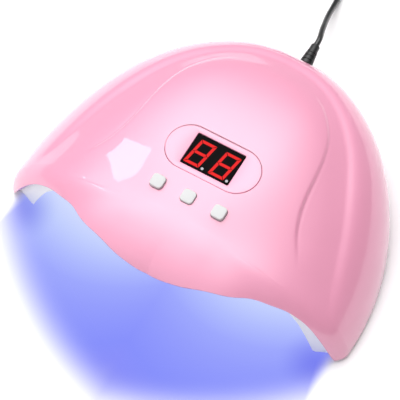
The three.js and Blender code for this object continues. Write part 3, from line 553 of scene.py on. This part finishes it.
EVEN = 240      # rounds of smoothing for the middle of the top, the same for every grid
def shell_skin(name, n_out, n_in, thick, trim, detail):
    """Outer skin and a rounded edge down to the inner skin's border; make_shell adds the inner skin that closes the
    shell.
    """
    tab_o, tab_i = surface_table(0.0, trim), surface_table(thick, trim)
    phi, rho, idx, loop = disk_grid(n_out)
    P = dome(phi, table_lookup(tab_o, phi, rho), 0.0)
    P = relax(P, idx, np.clip((0.55 - rho) / 0.2, 0, 1), EVEN)
    N = grid_normals(P, idx)
    if N[:, 2].mean() < 0:
        N = -N
    if detail:
        P = features(P, N)
    phi2, rho2, idx2, loop2 = disk_grid(n_in)
    # the inner skin's border uses the same azimuths, so both borders have equal counts
    Pi = dome(phi2, table_lookup(tab_i, phi2, rho2), thick)
    edge_phi = phi[loop]
    O, I = P[loop], dome(edge_phi, table_lookup(tab_i, edge_phi, np.ones(len(loop))), thick)
    full_o = dome(edge_phi, tau_at(edge_phi, 0.0, lambda p: cut_height(p, 0, SHELL_BASE)), 0.0)
    full_i = dome(edge_phi, tau_at(edge_phi, thick, lambda p: cut_height(p, 0, SHELL_BASE)), thick)
    rows = []
    mid = (full_o + full_i) / 2
    for t in (0.3, 0.6, 0.85):
        rows.append((1-t)**2 * O + 2*t*(1-t) * full_o + t*t * mid)
    rows.append(mid)
    for t in (0.15, 0.4, 0.7):
        rows.append((1-t)**2 * mid + 2*t*(1-t) * full_i + t*t * I)
    rows.append(I)
    verts = [P]; base = len(P); ring_idx = [loop]
    for r in rows:
        verts.append(r); ring_idx.append(np.arange(base, base + len(loop))); base += len(loop)
    faces = grid_faces(idx)
    for a, b in zip(ring_idx[:-1], ring_idx[1:]):
        n = len(a)
        faces += [(a[i], b[i], b[(i+1) % n], a[(i+1) % n]) for i in range(n)]
    # inner skin: same count as the border, so take the outer grid's size
    return P, idx, loop, verts, faces, ring_idx[-1], base

def make_shell(name, n, thick, trim):
    P, idx, loop, verts, faces, last, base = shell_skin(name, n, n, thick, trim, True)
    tab_i = surface_table(thick, trim)
    phi, rho, idx2, loop2 = disk_grid(n)
    Pi = dome(phi, table_lookup(tab_i, phi, rho), thick)
    Pi = relax(Pi, idx2, np.clip((0.55 - rho) / 0.2, 0, 1), EVEN)
    remap = np.full(n * n, -1)
    remap[loop2] = last
    inner = [i for i in range(n * n) if remap[i] < 0]
    remap[inner] = base + np.arange(len(inner))
    verts.append(Pi[inner])
    faces += [tuple(remap[list(f)][::-1]) for f in grid_faces(idx2)]
    V = np.vstack(verts)
    o = mesh_object(name, V, faces)
    outward(o)
    return o, P, idx

# ------------------------------------------------------------------ top shell
GRID = 321
shell, P_SHELL, IDX_SHELL = make_shell("shell_pink_outer", GRID, SHELL_THICK, 0.9)
in_frame(shell, TO_M)
smooth_by_angle(shell, 50)
donor = link(bpy.data.objects.new("shell_normals", shell.data.copy()))

tilt = math.radians(INSERT["tilt"])
INSERT_FRAME = Matrix.Translation((0, INSERT["y"] - MY, INSERT["z"])) @ Matrix.Rotation(tilt, 4, "X")
def button_frame(k):
    return frame_at((k * BUTTON["pitch"], BUTTON["y"] - MY, BUTTON["z"]), BUTTON_AXIS)
CORD_FRAME = frame_at((EXIT[0], EXIT[1] - MY, EXIT[2]), AXIS)

def stadium(l, w, n=24):
    return rounded_rect(l, w, w / 2 - 0.001, n)

tools = [prism("cut_insert", stadium(INSERT["length"] + 0.5, INSERT["width"] + 0.5), -12, 14, INSERT_FRAME)]
for k in (-1, 0, 1):
    tools.append(prism("cut_button", rounded_rect(BUTTON["size"] + 0.5, BUTTON["size"] + 0.5, BUTTON["corner"] + 0.25, 8), -7, 8, button_frame(k)))
tools.append(prism("cut_exit", [(3.7 * math.cos(i * math.pi / 24), 3.7 * math.sin(i * math.pi / 24)) for i in range(48)], -8, 8, CORD_FRAME))
cut(shell, tools)
smooth_by_angle(shell, 40)
# the skins keep the shading of the uncut surface
group = shell.vertex_groups.new(name="skin")
from mathutils.bvhtree import BVHTree
bvh = BVHTree.FromObject(donor, bpy.context.evaluated_depsgraph_get())
keep = []
for v in shell.data.vertices:
    hit = bvh.find_nearest(v.co)
    if hit[0] is not None and hit[3] < 2e-6:
        keep.append(v.index)
group.add(keep, 1.0, "REPLACE")
dt = shell.modifiers.new("shading", "DATA_TRANSFER")
dt.object = donor
dt.use_loop_data = True
dt.data_types_loops = {"CUSTOM_NORMAL"}
dt.loop_mapping = "POLYINTERP_LNORPROJ"
dt.vertex_group = "skin"
apply_modifiers(shell)
bpy.data.objects.remove(donor)
shell.vertex_groups.clear()
shell.data.materials.clear(); shell.data.materials.append(M["pink"])
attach(shell, "lamp"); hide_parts("top_shell")

# ------------------------------------------------------------------ display insert, window and digits
def stepped(outline_fn, levels):
    """Rings from (z, inset) levels over an outline that can be drawn smaller."""
    return [[(x, y, z) for x, y in outline_fn(i)] for z, i in levels]

def edge_round(z0, z1, r, n=4, bottom=True):
    """(height, inset) levels of a slab whose upper edge, and lower edge if asked, is rounded."""
    out = []
    if bottom:
        for k in range(n + 1):
            a = math.pi / 2 * k / n
            out.append((z0 + r * (1 - math.sin(a)) if False else z0 + r * (1 - math.cos(a)), r * (1 - math.sin(a))))
    else:
        out.append((z0, 0.0))
    for k in range(n + 1):
        a = math.pi / 2 * k / n
        out.append((z1 - r + r * math.sin(a), r * (1 - math.cos(a))))
    return out

def finish_piece(o, m, mat, body, nodes, degrees=35):
    in_frame(o, m); in_frame(o, Matrix.Scale(MM, 4))
    smooth_by_angle(o, degrees)
    o.data.materials.clear(); o.data.materials.append(M[mat])
    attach(o, body)
    if nodes:
        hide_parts(*nodes)
    return o

bezel = loft("display_insert", stepped(lambda i: stadium(INSERT["length"] - 2 * i, INSERT["width"] - 2 * i), edge_round(-2.0, 0.0, 0.35)))
hole = loft("cut_window", [[(x, y, z) for x, y in rounded_rect(26.6 + 2 * g, 18.0 + 2 * g, 0.6 + g, 6)] for z, g in ((-4, 0), (-0.35, 0), (-0.12, 0.06), (0.0, 0.3), (0.4, 0.7))])
cut(bezel, [hole])
finish_piece(bezel, INSERT_FRAME, "pink", "lamp", ["display_bezel"])

window = loft("display_glass", stepped(lambda i: rounded_rect(26 - 2 * i, 17.4 - 2 * i, 0.4, 6), edge_round(-1.9, -0.15, 0.12, 3)))
finish_piece(window, INSERT_FRAME, "window", "lamp", ["display_window"])

def segment_shapes(cx, slant=0.169, w=8.5, h=14.1, t=1.5, seam=0.2, cy=-0.6):
    """The seven mitred bars of a two-stroke-high digit."""
    a, b, s = w / 2, h / 2, seam
    top = [(-a + s, b), (a - s, b), (a - t - s, b - t), (-a + t + s, b - t)]
    middle = [(-a + t / 2 + s, 0), (-a + t + s, t / 2), (a - t - s, t / 2), (a - t / 2 - s, 0), (a - t - s, -t / 2), (-a + t + s, -t / 2)]
    upright = [(-a, b - s), (-a, s / 2), (-a + t / 2, s / 2), (-a + t, t / 2 + s), (-a + t, b - t - s)]
    shapes = [top, [(x, -y) for x, y in top][::-1], middle]
    for mx in (1, -1):
        for my in (1, -1):
            bar = [(x * mx, y * my) for x, y in upright]
            shapes.append(bar if mx * my > 0 else bar[::-1])
    return [[(x + y * slant + cx, y + cy) for x, y in bar] for bar in shapes]

def thin_plates(name, outlines, z0, z1):
    verts, faces = [], []
    for out in outlines:
        n = len(out); b = len(verts)
        verts += [(x, y, z0) for x, y in out] + [(x, y, z1) for x, y in out]
        faces.append(tuple(range(b + n - 1, b - 1, -1))); faces.append(tuple(range(b + n, b + 2 * n)))
        faces += [(b + i, b + (i + 1) % n, b + n + (i + 1) % n, b + n + i) for i in range(n)]
    o = mesh_object(name, verts, faces)
    return outward(o)

digits = thin_plates("display_segments", segment_shapes(-6.85) + segment_shapes(6.8), -0.145, -0.10)
finish_piece(digits, INSERT_FRAME, "digit", "lamp", None, 20)
dots = thin_plates("display_points", [[(cx + 0.72 * math.cos(i * math.pi / 12), -7.1 + 0.72 * math.sin(i * math.pi / 12)) for i in range(24)] for cx in (-1.95, 11.6)], -0.145, -0.10)
finish_piece(dots, INSERT_FRAME, "dot", "lamp", None, 20)

# ------------------------------------------------------------------ push buttons
for side, k in (("left", -1), ("center", 0), ("right", 1)):
    S, R = BUTTON["size"], BUTTON["corner"]
    levels = [(-4.4, 8.8, 1.6), (-3.6, 8.8, 1.6), (-3.58, 6.0, 1.4), (-2.62, 6.0, 1.4), (-2.6, S, R)]
    rr = 0.42
    for j in range(6):
        a = math.pi / 2 * j / 5
        levels.append((1.52 - rr + rr * math.sin(a), S - 2 * rr * (1 - math.cos(a)), R - rr * (1 - math.cos(a)) * 0.6))
    for q in (0.86, 0.66, 0.4, 0.15):
        levels.append((1.52 + 0.16 * (1 - q * q), (S - 2 * rr) * q, (R - rr * 0.6) * q))
    b = loft("button_cap_" + side, [[(x, y, z) for x, y in rounded_rect(s, s, r, 8)] for z, s, r in levels])
    finish_piece(b, button_frame(k), "button", "button_" + side, ["button_" + side], 32)

# ------------------------------------------------------------------ liner
def liner_rim(phi):
    t = tau_at(phi, LINER_INSET, lambda p: cut_height(p, 0.8, LINER_BASE))
    a = dome(phi, t, LINER_INSET)
    inward = np.stack([-a[:, 0], CENTRE_Y + 30 - a[:, 1], np.zeros(len(a))], -1)
    inward /= np.linalg.norm(inward, axis=1, keepdims=True)
    front = smooth((12 - a[:, 1]) / 14)
    mid = smooth((62 - np.abs(a[:, 0])) / 34) * front
    w = 10.2 * (1 - mid) + 3.4 * mid
    b = a + inward * w[:, None]
    b[:, 2] += 0.4 * front * (1 - mid)
    # towards the front corners the rim turns to follow the steep edge
    side = np.sign(a[:, 0]); ax = np.minimum(np.abs(a[:, 0]), EDGE_X[-1] - 1.2)
    face = (smooth((4.6 - a[:, 1]) / 3.4) * smooth((np.abs(a[:, 0]) - 50) / 14))[:, None]
    slope = np.clip((edge_height(ax + 1) - edge_height(ax - 1)) / 2, -2.2, 0)
    l = np.hypot(slope, 1)
    wf = 3.4 + 7 * smooth((np.abs(a[:, 0]) - 62) / 29)
    turned = np.stack([a[:, 0] + side * (slope / l) * wf, a[:, 1] + 1.6, np.maximum(LINER_BASE, a[:, 2] - wf / l)], -1)
    b = b + (turned - b) * face
    lip = (a + b) / 2
    front_lip = turned.copy(); front_lip[:, 1] = -1.6
    lip = lip + (front_lip - lip) * face
    t_in = np.stack([-side, np.full(len(a), 0.5), np.zeros(len(a))], -1); t_in /= np.linalg.norm(t_in, axis=1, keepdims=True)
    inward = inward + (t_in - inward) * face; inward /= np.linalg.norm(inward, axis=1, keepdims=True)
    return a, b, lip, inward

def liner_rows(phi, upper, rows):
    a, b, lip, inward = liner_rim(phi)
    th = LINER_THICK if upper else 0.0
    a2, b2 = a.copy(), b.copy()
    if upper:
        # one crossing per azimuth, each with its own height
        az = a[:, 2] + LINER_THICK
        ts = tau_at(phi, LINER_INSET, lambda p: np.broadcast_to((az[:, None] if p.ndim == 3 else az), p.shape[:-1]))
        a2 = dome(phi, ts, LINER_INSET)
        b2 = b - inward * LINER_THICK; b2[:, 2] += LINER_THICK
        gap = ((a2 - b2) * inward)[:, :2].sum(1)
        bad = gap > -0.3
        nb = a2 + inward * 0.3; nb[:, 2] = b2[:, 2]
        b2[bad] = nb[bad]
        b2[:, 2] = np.maximum(b2[:, 2], a2[:, 2])
    top = np.array([0, 42, LINER_TOP + th]); m = 2.5
    if upper:
        out = [a2 + (b2 - a2) * k for k in (0.0, 0.06, 0.5, 0.94)]
    else:
        out = [a2 + (lip - a2) * k for k in (0.0, 0.5)] + [lip] + [lip + (b2 - lip) * 0.5]
    u = np.linspace(0, np.pi / 2, rows)
    k = np.maximum(0, np.cos(u)) ** (2 / m); h = np.sin(u) ** (2 / m)
    # even spacing along the curve
    dense = np.linspace(0, np.pi / 2, 300)
    kd = np.maximum(0, np.cos(dense)) ** (2 / m); hd = np.sin(dense) ** (2 / m)
    L = np.r_[0, np.cumsum(np.hypot(np.diff(kd) * 70, np.diff(hd) * 38))]
    s = np.linspace(0, L[-1], rows)
    kk, hh = np.interp(s, L, kd), np.interp(s, L, hd)
    for i in range(rows - 1):
        out.append(np.stack([top[0] + (b2[:, 0] - top[0]) * kk[i], top[1] + (b2[:, 1] - top[1]) * kk[i], b2[:, 2] + (top[2] - b2[:, 2]) * hh[i]], -1))
    return out, top

n_phi = 240
phis = np.linspace(0, 2 * np.pi, n_phi, endpoint=False)
lo_rows, lo_top = liner_rows(phis, False, 30)
up_rows, up_top = liner_rows(phis, True, 30)
verts = [*lo_rows, *up_rows, lo_top[None], up_top[None]]
nr = len(lo_rows)
faces = []
lo_i = [np.arange(n_phi) + n_phi * r for r in range(nr)]
up_i = [np.arange(n_phi) + n_phi * (nr + r) for r in range(nr)]
for a, b in list(zip(lo_i[:-1], lo_i[1:])) + [(up_i[0], lo_i[0])]:
    faces += [(a[i], b[i], b[(i+1) % n_phi], a[(i+1) % n_phi]) for i in range(n_phi)]
for a, b in zip(up_i[:-1], up_i[1:]):
    faces += [(a[i], a[(i+1) % n_phi], b[(i+1) % n_phi], b[i]) for i in range(n_phi)]
lt, ut = n_phi * 2 * nr, n_phi * 2 * nr + 1
faces += [(lo_i[-1][i], lt, lo_i[-1][(i+1) % n_phi]) for i in range(n_phi)]
faces += [(up_i[-1][i], up_i[-1][(i+1) % n_phi], ut) for i in range(n_phi)]
liner = mesh_object("reflector_liner", np.vstack(verts), faces)
outward(liner)
in_frame(liner, TO_M)

def bead_frame(node):
    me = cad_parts[node].data
    sums = {}
    for f in me.polygons:
        key = tuple(round(c, 2) for c in f.normal)
        sums[key] = sums.get(key, 0) + f.area
    key = max(sums, key=sums.get)
    n = -Vector(key).normalized()          # the way the lens points
    co = [v.co for v in me.vertices]
    lows = max(co, key=lambda c: c.dot(n)); deep = lows.dot(n)
    centre = sum((c for c in co if c.dot(n) < min(q.dot(n) for q in co) + 2e-4), Vector()) / max(1, sum(1 for c in co if c.dot(n) < min(q.dot(n) for q in co) + 2e-4))
    return frame_at(centre, n)            # origin at the middle of the bead's back

bead_names = sorted(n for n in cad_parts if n.startswith("led_bead_"))
bead_frames = {n: bead_frame(n) for n in bead_names}
tools = []
for n in bead_names:
    t = prism("cut_bead", [(3.45 * math.cos(i * math.pi / 12), 3.45 * math.sin(i * math.pi / 12)) for i in range(24)], -3, 9)
    t.data.transform(bead_frames[n]); tools.append(t)
for node in ("hand_sensor_emitter", "hand_sensor_receiver"):
    lo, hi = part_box(node); c = (lo + hi) / 2
    t = prism("cut_sensor", [(2.6 * math.cos(i * math.pi / 12), 2.6 * math.sin(i * math.pi / 12)) for i in range(24)], -6, 6)
    t.data.transform(Matrix.Translation(c)); tools.append(t)
screws = sorted(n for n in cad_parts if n.startswith("case_screw_"))
for node in screws:
    lo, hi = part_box(node); c = (lo + hi) / 2
    t = prism("cut_screw", [(1.5 * math.cos(i * math.pi / 12), 1.5 * math.sin(i * math.pi / 12)) for i in range(24)], -6, 6)
    t.data.transform(Matrix.Translation(c)); tools.append(t)
cut(liner, tools)
smooth_by_angle(liner, 35)
liner.data.materials.clear(); liner.data.materials.append(M["liner"])
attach(liner, "lamp"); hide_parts("inner_liner")

for n in bead_names:
    prof = [(0, 0), (2.8, 0), (2.8, 0.9)] + [(2.35 * math.cos(a), 0.9 + 1.7 * math.sin(a)) for a in np.linspace(0.0, math.pi / 2, 9)]
    prof[-1] = (0, prof[-1][1])
    o = lathe(n.replace("led_bead", "led_lens"), prof, 28)
    in_frame(o, Matrix.Scale(MM, 4)); in_frame(o, bead_frames[n])
    smooth_by_angle(o, 40)
    o.data.materials.clear(); o.data.materials.append(M["led"])
    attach(o, "lamp"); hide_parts(n)

# ------------------------------------------------------------------ strain relief, tie and plug
prof = [(0, -5.6), (4.9, -5.6), (4.9, -4.2), (3.3, -4.2), (3.3, 0.35), (4.15, 0.35), (4.35, 0.6), (4.32, 1.6), (4.15, 1.95)]
z, r = 1.95, 3.85
for k in range(5):
    w = 2.62 - 0.14 * k
    prof += [(r - 0.35, z + 0.08), (r - 0.35, z + 0.42), (r - 0.06, z + 0.55), (r - 0.05 - 0.10, z + w - 0.15), (r - 0.30, z + w)]
    z += w; r -= 0.27
prof += [(r - 0.10, z + 0.1), (r - 0.14, 16.7), (r - 0.34, 17.15), (1.52, 17.2), (1.5, 16.4), (0, 16.4)]
relief = lathe("strain_relief_boot", prof, 56)
finish_piece(relief, CORD_FRAME, "relief", "lamp", ["strain_relief"], 30)

# a woven band once round the bundle
ta = math.radians(TIE_ANGLE)
tie_c = Vector((COIL["x"] + COIL["r"] * math.cos(ta), COIL["y"] + COIL["r"] * math.sin(ta) - MY, 5.25))
tie_m = frame_at(tie_c, (-math.sin(ta), math.cos(ta), 0), (math.cos(ta), math.sin(ta), 0))
rings = []
for w, h, r, zz in ((11.5, 9.9, 4.2, -2.4), (12.3, 10.2, 4.35, -2.45), (12.5, 10.3, 4.4, -2.2), (12.5, 10.3, 4.4, 2.2), (12.3, 10.2, 4.35, 2.45), (11.5, 9.9, 4.2, 2.4)):
    rings.append([(x, y, zz) for x, y in rounded_rect(w, h, r, 10)])
band = loft("cord_band", rings + [rings[0]], caps=False)
bm = bmesh.new(); bm.from_mesh(band.data); bmesh.ops.remove_doubles(bm, verts=bm.verts, dist=1e-5); bm.to_mesh(band.data); bm.free()
outward(band)
finish_piece(band, tie_m, "tie", "lamp", ["cord_tie"], 40)

plug_m = frame_at((PLUG_AT[0], PLUG_AT[1] - MY, 3.9), PLUG_DIR, tuple(-np.cross(PLUG_DIR, [0, 0, 1])))
lv = [(-8.2, 3.6, 3.6, 1.79), (-7.9, 4.2, 4.2, 2.09), (-4, 5.0, 5.0, 2.49), (-1.2, 5.9, 5.9, 2.9), (-0.6, 7.6, 6.4, 2.6), (0.0, 10.6, 7.0, 2.2), (0.5, 13.4, 7.4, 1.9), (1.4, 15.2, 7.6, 1.7), (3, 15.6, 7.6, 1.6),
      (7, 15.6, 7.6, 1.6), (7.3, 15.1, 7.1, 1.5), (7.9, 15.1, 7.1, 1.5), (8.2, 15.6, 7.6, 1.6), (10, 15.6, 7.6, 1.6), (10.3, 15.1, 7.1, 1.5), (10.9, 15.1, 7.1, 1.5), (11.2, 15.6, 7.6, 1.6),
      (20.4, 15.6, 7.6, 1.6), (20.85, 15.2, 7.2, 1.5), (21.0, 14.6, 6.6, 1.3)]
plug = loft("usb_plug_grip", [[(x, y, z) for x, y in rounded_rect(w, h, r, 8)] for z, w, h, r in lv])
pocket = loft("cut_pocket", [[(x, y, z) for x, y in rounded_rect(12.4, 4.9, 0.4, 3)] for z in (18.0, 23.0)])
cut(plug, [pocket])
finish_piece(plug, plug_m, "cord", "lamp", ["usb_plug_body"], 30)

# ------------------------------------------------------------------ feet and screws
for node in sorted(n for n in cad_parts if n.startswith("rubber_foot_")):
    lo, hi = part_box(node); c = (lo + hi) / 2
    r = (hi.x - lo.x) / 2 / MM; h = (hi.z - lo.z) / MM
    o = lathe(node.replace("rubber_foot", "foot_pad"), [(0, 0), (r - 0.4, 0), (r - 0.1, 0.12), (r, 0.4), (r, h - 0.05), (r - 0.05, h), (0, h)], 40)
    finish_piece(o, Matrix.Translation((c.x / MM, c.y / MM, lo.z / MM)), "foot", "lamp", [node])

# ------------------------------------------------------------------ materials of the pieces that stay as they are
STAY = {"led_strip_": "board_white", "hand_sensor_emitter": "sensor_clear", "hand_sensor_receiver": "sensor_dark", "display_module": "module",
        "switch_plunger_": "module", "tact_switch_": "steel", "key_board": "pcb", "main_board": "pcb", "board_screw_": "steel", "case_screw_": "steel",
        "power_connector": "connector", "power_lead": "cord", "usb_plug_shell": "plug_metal"}
for n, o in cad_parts.items():
    for prefix, mat in STAY.items():
        if n.startswith(prefix):
            o.data.materials.clear(); o.data.materials.append(M[mat])

# ------------------------------------------------------------------ floor and painted light pool
def stage_material(name, colour, roughness):
    m, nt, bsdf = shader(name)
    bsdf.inputs["Base Color"].default_value = (*colour, 1)
    bsdf.inputs["Roughness"].default_value = roughness
    bsdf.inputs["Specular IOR Level"].default_value = 0.2
    return m
floor = mesh_object("floor", [(-3, -3, 0), (3, -3, 0), (3, 3, 0), (-3, 3, 0)], [(0, 1, 2, 3)], stage_material("floor_pale", (0.93, 0.93, 0.935), 0.7))
floor.location.z = -0.0002
floor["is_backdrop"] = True

# painted light: an emissive sheet over the floor paints the pool of blue-violet light round the opening, bluer with
# depth and fading out at its edges
pool_mat = bpy.data.materials.new("painted_light_pool"); pool_mat.use_nodes = True
nt = pool_mat.node_tree; nt.nodes.clear()
out = nt.nodes.new("ShaderNodeOutputMaterial")
geo = nt.nodes.new("ShaderNodeTexCoord")
sep = nt.nodes.new("ShaderNodeSeparateXYZ"); nt.links.new(geo.outputs["Object"], sep.inputs[0])
def math_node(op, a, b=None):
    n = nt.nodes.new("ShaderNodeMath"); n.operation = op
    for k, v in enumerate((a, b)):
        if v is None: continue
        if isinstance(v, (int, float)): n.inputs[k].default_value = v
        else: nt.links.new(v, n.inputs[k])
    return n.outputs[0]
def gap_to(cx, cy):
    """Distance on the table from a place given in packed millimetres."""
    dx = math_node("SUBTRACT", sep.outputs[0], cx * MM); dy = math_node("SUBTRACT", sep.outputs[1], cy * MM)
    return math_node("MULTIPLY", math_node("SQRT", math_node("ADD", math_node("MULTIPLY", dx, dx), math_node("MULTIPLY", dy, dy))), 1000.0)
rr = math_node("MAXIMUM", gap_to(52, 52), gap_to(-44, 52))
mx_, my_ = math_node("MULTIPLY", sep.outputs[0], 1000.0), math_node("MULTIPLY", sep.outputs[1], 1000.0)
depth = math_node("ADD", math_node("MULTIPLY", mx_, 0.065), math_node("MULTIPLY", my_, -0.509))
depth = math_node("ADD", depth, math_node("MULTIPLY", math_node("ABSOLUTE", mx_), -0.391))
depth = math_node("ADD", math_node("ADD", depth, math_node("MULTIPLY", math_node("MULTIPLY", mx_, mx_), 0.00465)), 39.2)
share = math_node("DIVIDE", math_node("SUBTRACT", depth, 46.0), 58.0)
ramp = nt.nodes.new("ShaderNodeValToRGB"); nt.links.new(share, ramp.inputs[0])
def lin(c):
    c = c / 255; return c / 12.92 if c <= 0.04045 else ((c + 0.055) / 1.055) ** 2.4
stops = [((d - 46) / 58, c) for d, c in ((46, (225, 233, 255)), (50, (212, 222, 255)), (56, (195, 208, 255)), (62, (176, 188, 255)), (68, (158, 168, 254)), (74, (149, 158, 253)),
         (80, (142, 151, 253)), (86, (136, 145, 252)), (92, (138, 144, 251)), (98, (145, 149, 248)), (104, (152, 154, 246)))]
cr = ramp.color_ramp
while len(cr.elements) < len(stops): cr.elements.new(0.5)
for e, (p, c) in zip(cr.elements, stops):
    e.position = p; e.color = (*[lin(v) for v in c], 1)
painted_pool_colour = ramp.outputs[0]
# painted shade: near both front feet the painted pool turns a darker, deeper blue
for bx in (-84, 84):
    painted_foot_shade = nt.nodes.new("ShaderNodeMapRange"); painted_foot_shade.interpolation_type = "SMOOTHSTEP"
    painted_foot_shade.inputs["From Min"].default_value = 20.0; painted_foot_shade.inputs["From Max"].default_value = 0.0; painted_foot_shade.inputs["To Max"].default_value = 0.6
    nt.links.new(gap_to(bx, -57), painted_foot_shade.inputs["Value"])
    mixc = nt.nodes.new("ShaderNodeMix"); mixc.data_type = "RGBA"
    nt.links.new(painted_foot_shade.outputs["Result"], mixc.inputs["Factor"]); nt.links.new(painted_pool_colour, mixc.inputs["A"])
    mixc.inputs["B"].default_value = (lin(100), lin(105), lin(235), 1)
    painted_pool_colour = mixc.outputs["Result"]
em = nt.nodes.new("ShaderNodeEmission"); nt.links.new(painted_pool_colour, em.inputs[0]); em.inputs[1].default_value = 1.0
tr = nt.nodes.new("ShaderNodeBsdfTransparent")
mr = nt.nodes.new("ShaderNodeMapRange"); mr.interpolation_type = "SMOOTHSTEP"
mr.inputs["From Min"].default_value = 162.0; mr.inputs["From Max"].default_value = 196.0; nt.links.new(rr, mr.inputs["Value"])
edge = nt.nodes.new("ShaderNodeMapRange"); edge.interpolation_type = "SMOOTHSTEP"
edge.inputs["From Min"].default_value = 82.0; edge.inputs["From Max"].default_value = 92.0
nt.links.new(math_node("ABSOLUTE", mx_), edge.inputs["Value"])
mx = nt.nodes.new("ShaderNodeMixShader")
nt.links.new(math_node("MAXIMUM", mr.outputs["Result"], edge.outputs["Result"]), mx.inputs[0]); nt.links.new(em.outputs[0], mx.inputs[1]); nt.links.new(tr.outputs[0], mx.inputs[2])
nt.links.new(mx.outputs[0], out.inputs[0])
pool = mesh_object("painted_light_pool", [(-0.11, -0.16, 0.0), (0.11, -0.16, 0.0), (0.11, -0.049, 0.0), (-0.11, -0.049, 0.0),
                                 (-0.084, -0.049, 0.0), (0.084, -0.049, 0.0), (0.084, 0.0, 0.0), (-0.084, 0.0, 0.0)], [(0, 1, 2, 3), (4, 5, 6, 7)], pool_mat)
pool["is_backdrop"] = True

# ------------------------------------------------------------------ light
world = bpy.data.worlds.new("studio"); scene.world = world; world.use_nodes = True
wn = world.node_tree; bg = wn.nodes["Background"]
tc = wn.nodes.new("ShaderNodeTexCoord")
def lobe(direction, power, strength):
    d = Vector(direction).normalized()
    dot = wn.nodes.new("ShaderNodeVectorMath"); dot.operation = "DOT_PRODUCT"; dot.inputs[1].default_value = d
    wn.links.new(tc.outputs["Generated"], dot.inputs[0])
    mx = wn.nodes.new("ShaderNodeMath"); mx.operation = "MAXIMUM"; wn.links.new(dot.outputs["Value"], mx.inputs[0]); mx.inputs[1].default_value = 0
    pw = wn.nodes.new("ShaderNodeMath"); pw.operation = "POWER"; wn.links.new(mx.outputs[0], pw.inputs[0]); pw.inputs[1].default_value = power
    ml = wn.nodes.new("ShaderNodeMath"); ml.operation = "MULTIPLY"; wn.links.new(pw.outputs[0], ml.inputs[0]); ml.inputs[1].default_value = strength
    return ml.outputs[0]
parts = [lobe((-0.27, 0.27, 0.92), 9.0, 3.9), lobe((-0.30, 0.15, 0.90), 2.0, 0.75), lobe((-0.40, -0.80, 0.42), 3.0, 0.75), lobe((0.2, 0.9, 0.35), 4.0, 0.15)]
acc = None
for p in parts:
    a = wn.nodes.new("ShaderNodeMath"); a.operation = "ADD"; wn.links.new(p, a.inputs[0])
    if acc is None: a.inputs[1].default_value = 0.20
    else: wn.links.new(acc, a.inputs[1])
    acc = a.outputs[0]
wn.links.new(acc, bg.inputs["Strength"])
bg.inputs["Color"].default_value = (1, 1, 1, 1)

# the softbox whose reflection lies on the left shoulder of the dome; its corners are given as the directions, seen
# from the shoulder, in which the sight lines mirror
SHOULDER = Vector((-36.5 * MM, (19.0 - MY) * MM, 50 * MM))
corners = []
for x, y in ((-0.751, 0.254), (-0.688, 0.223), (-0.623, 0.202), (-0.549, 0.190), (-0.546, 0.14), (-0.533, 0.075), (-0.60, 0.10), (-0.66, 0.15), (-0.72, 0.198)):
    corners.append(SHOULDER + 3.0 * Vector((x, y, math.sqrt(1 - x * x - y * y))))
m = bpy.data.materials.new("softbox_left"); m.use_nodes = True; t = m.node_tree; t.nodes.clear()
o1 = t.nodes.new("ShaderNodeOutputMaterial"); e1 = t.nodes.new("ShaderNodeEmission")
e1.inputs[0].default_value = (1.0, 0.95, 0.98, 1); e1.inputs[1].default_value = 8.0
t.links.new(e1.outputs[0], o1.inputs[0])
softbox = mesh_object("softbox_left", corners, [tuple(range(len(corners)))], m)
softbox.visible_camera = False
softbox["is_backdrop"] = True

violet = bpy.data.lights.new("cavity_glow", "AREA"); violet.shape = "RECTANGLE"; violet.size, violet.size_y = 0.09, 0.06
violet.color = (0.42, 0.45, 1.0); violet.energy = 0.08
vo = link(bpy.data.objects.new("cavity_glow", violet)); vo.location = (0, -0.012, 0.034); vo.visible_camera = False

lo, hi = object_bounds()
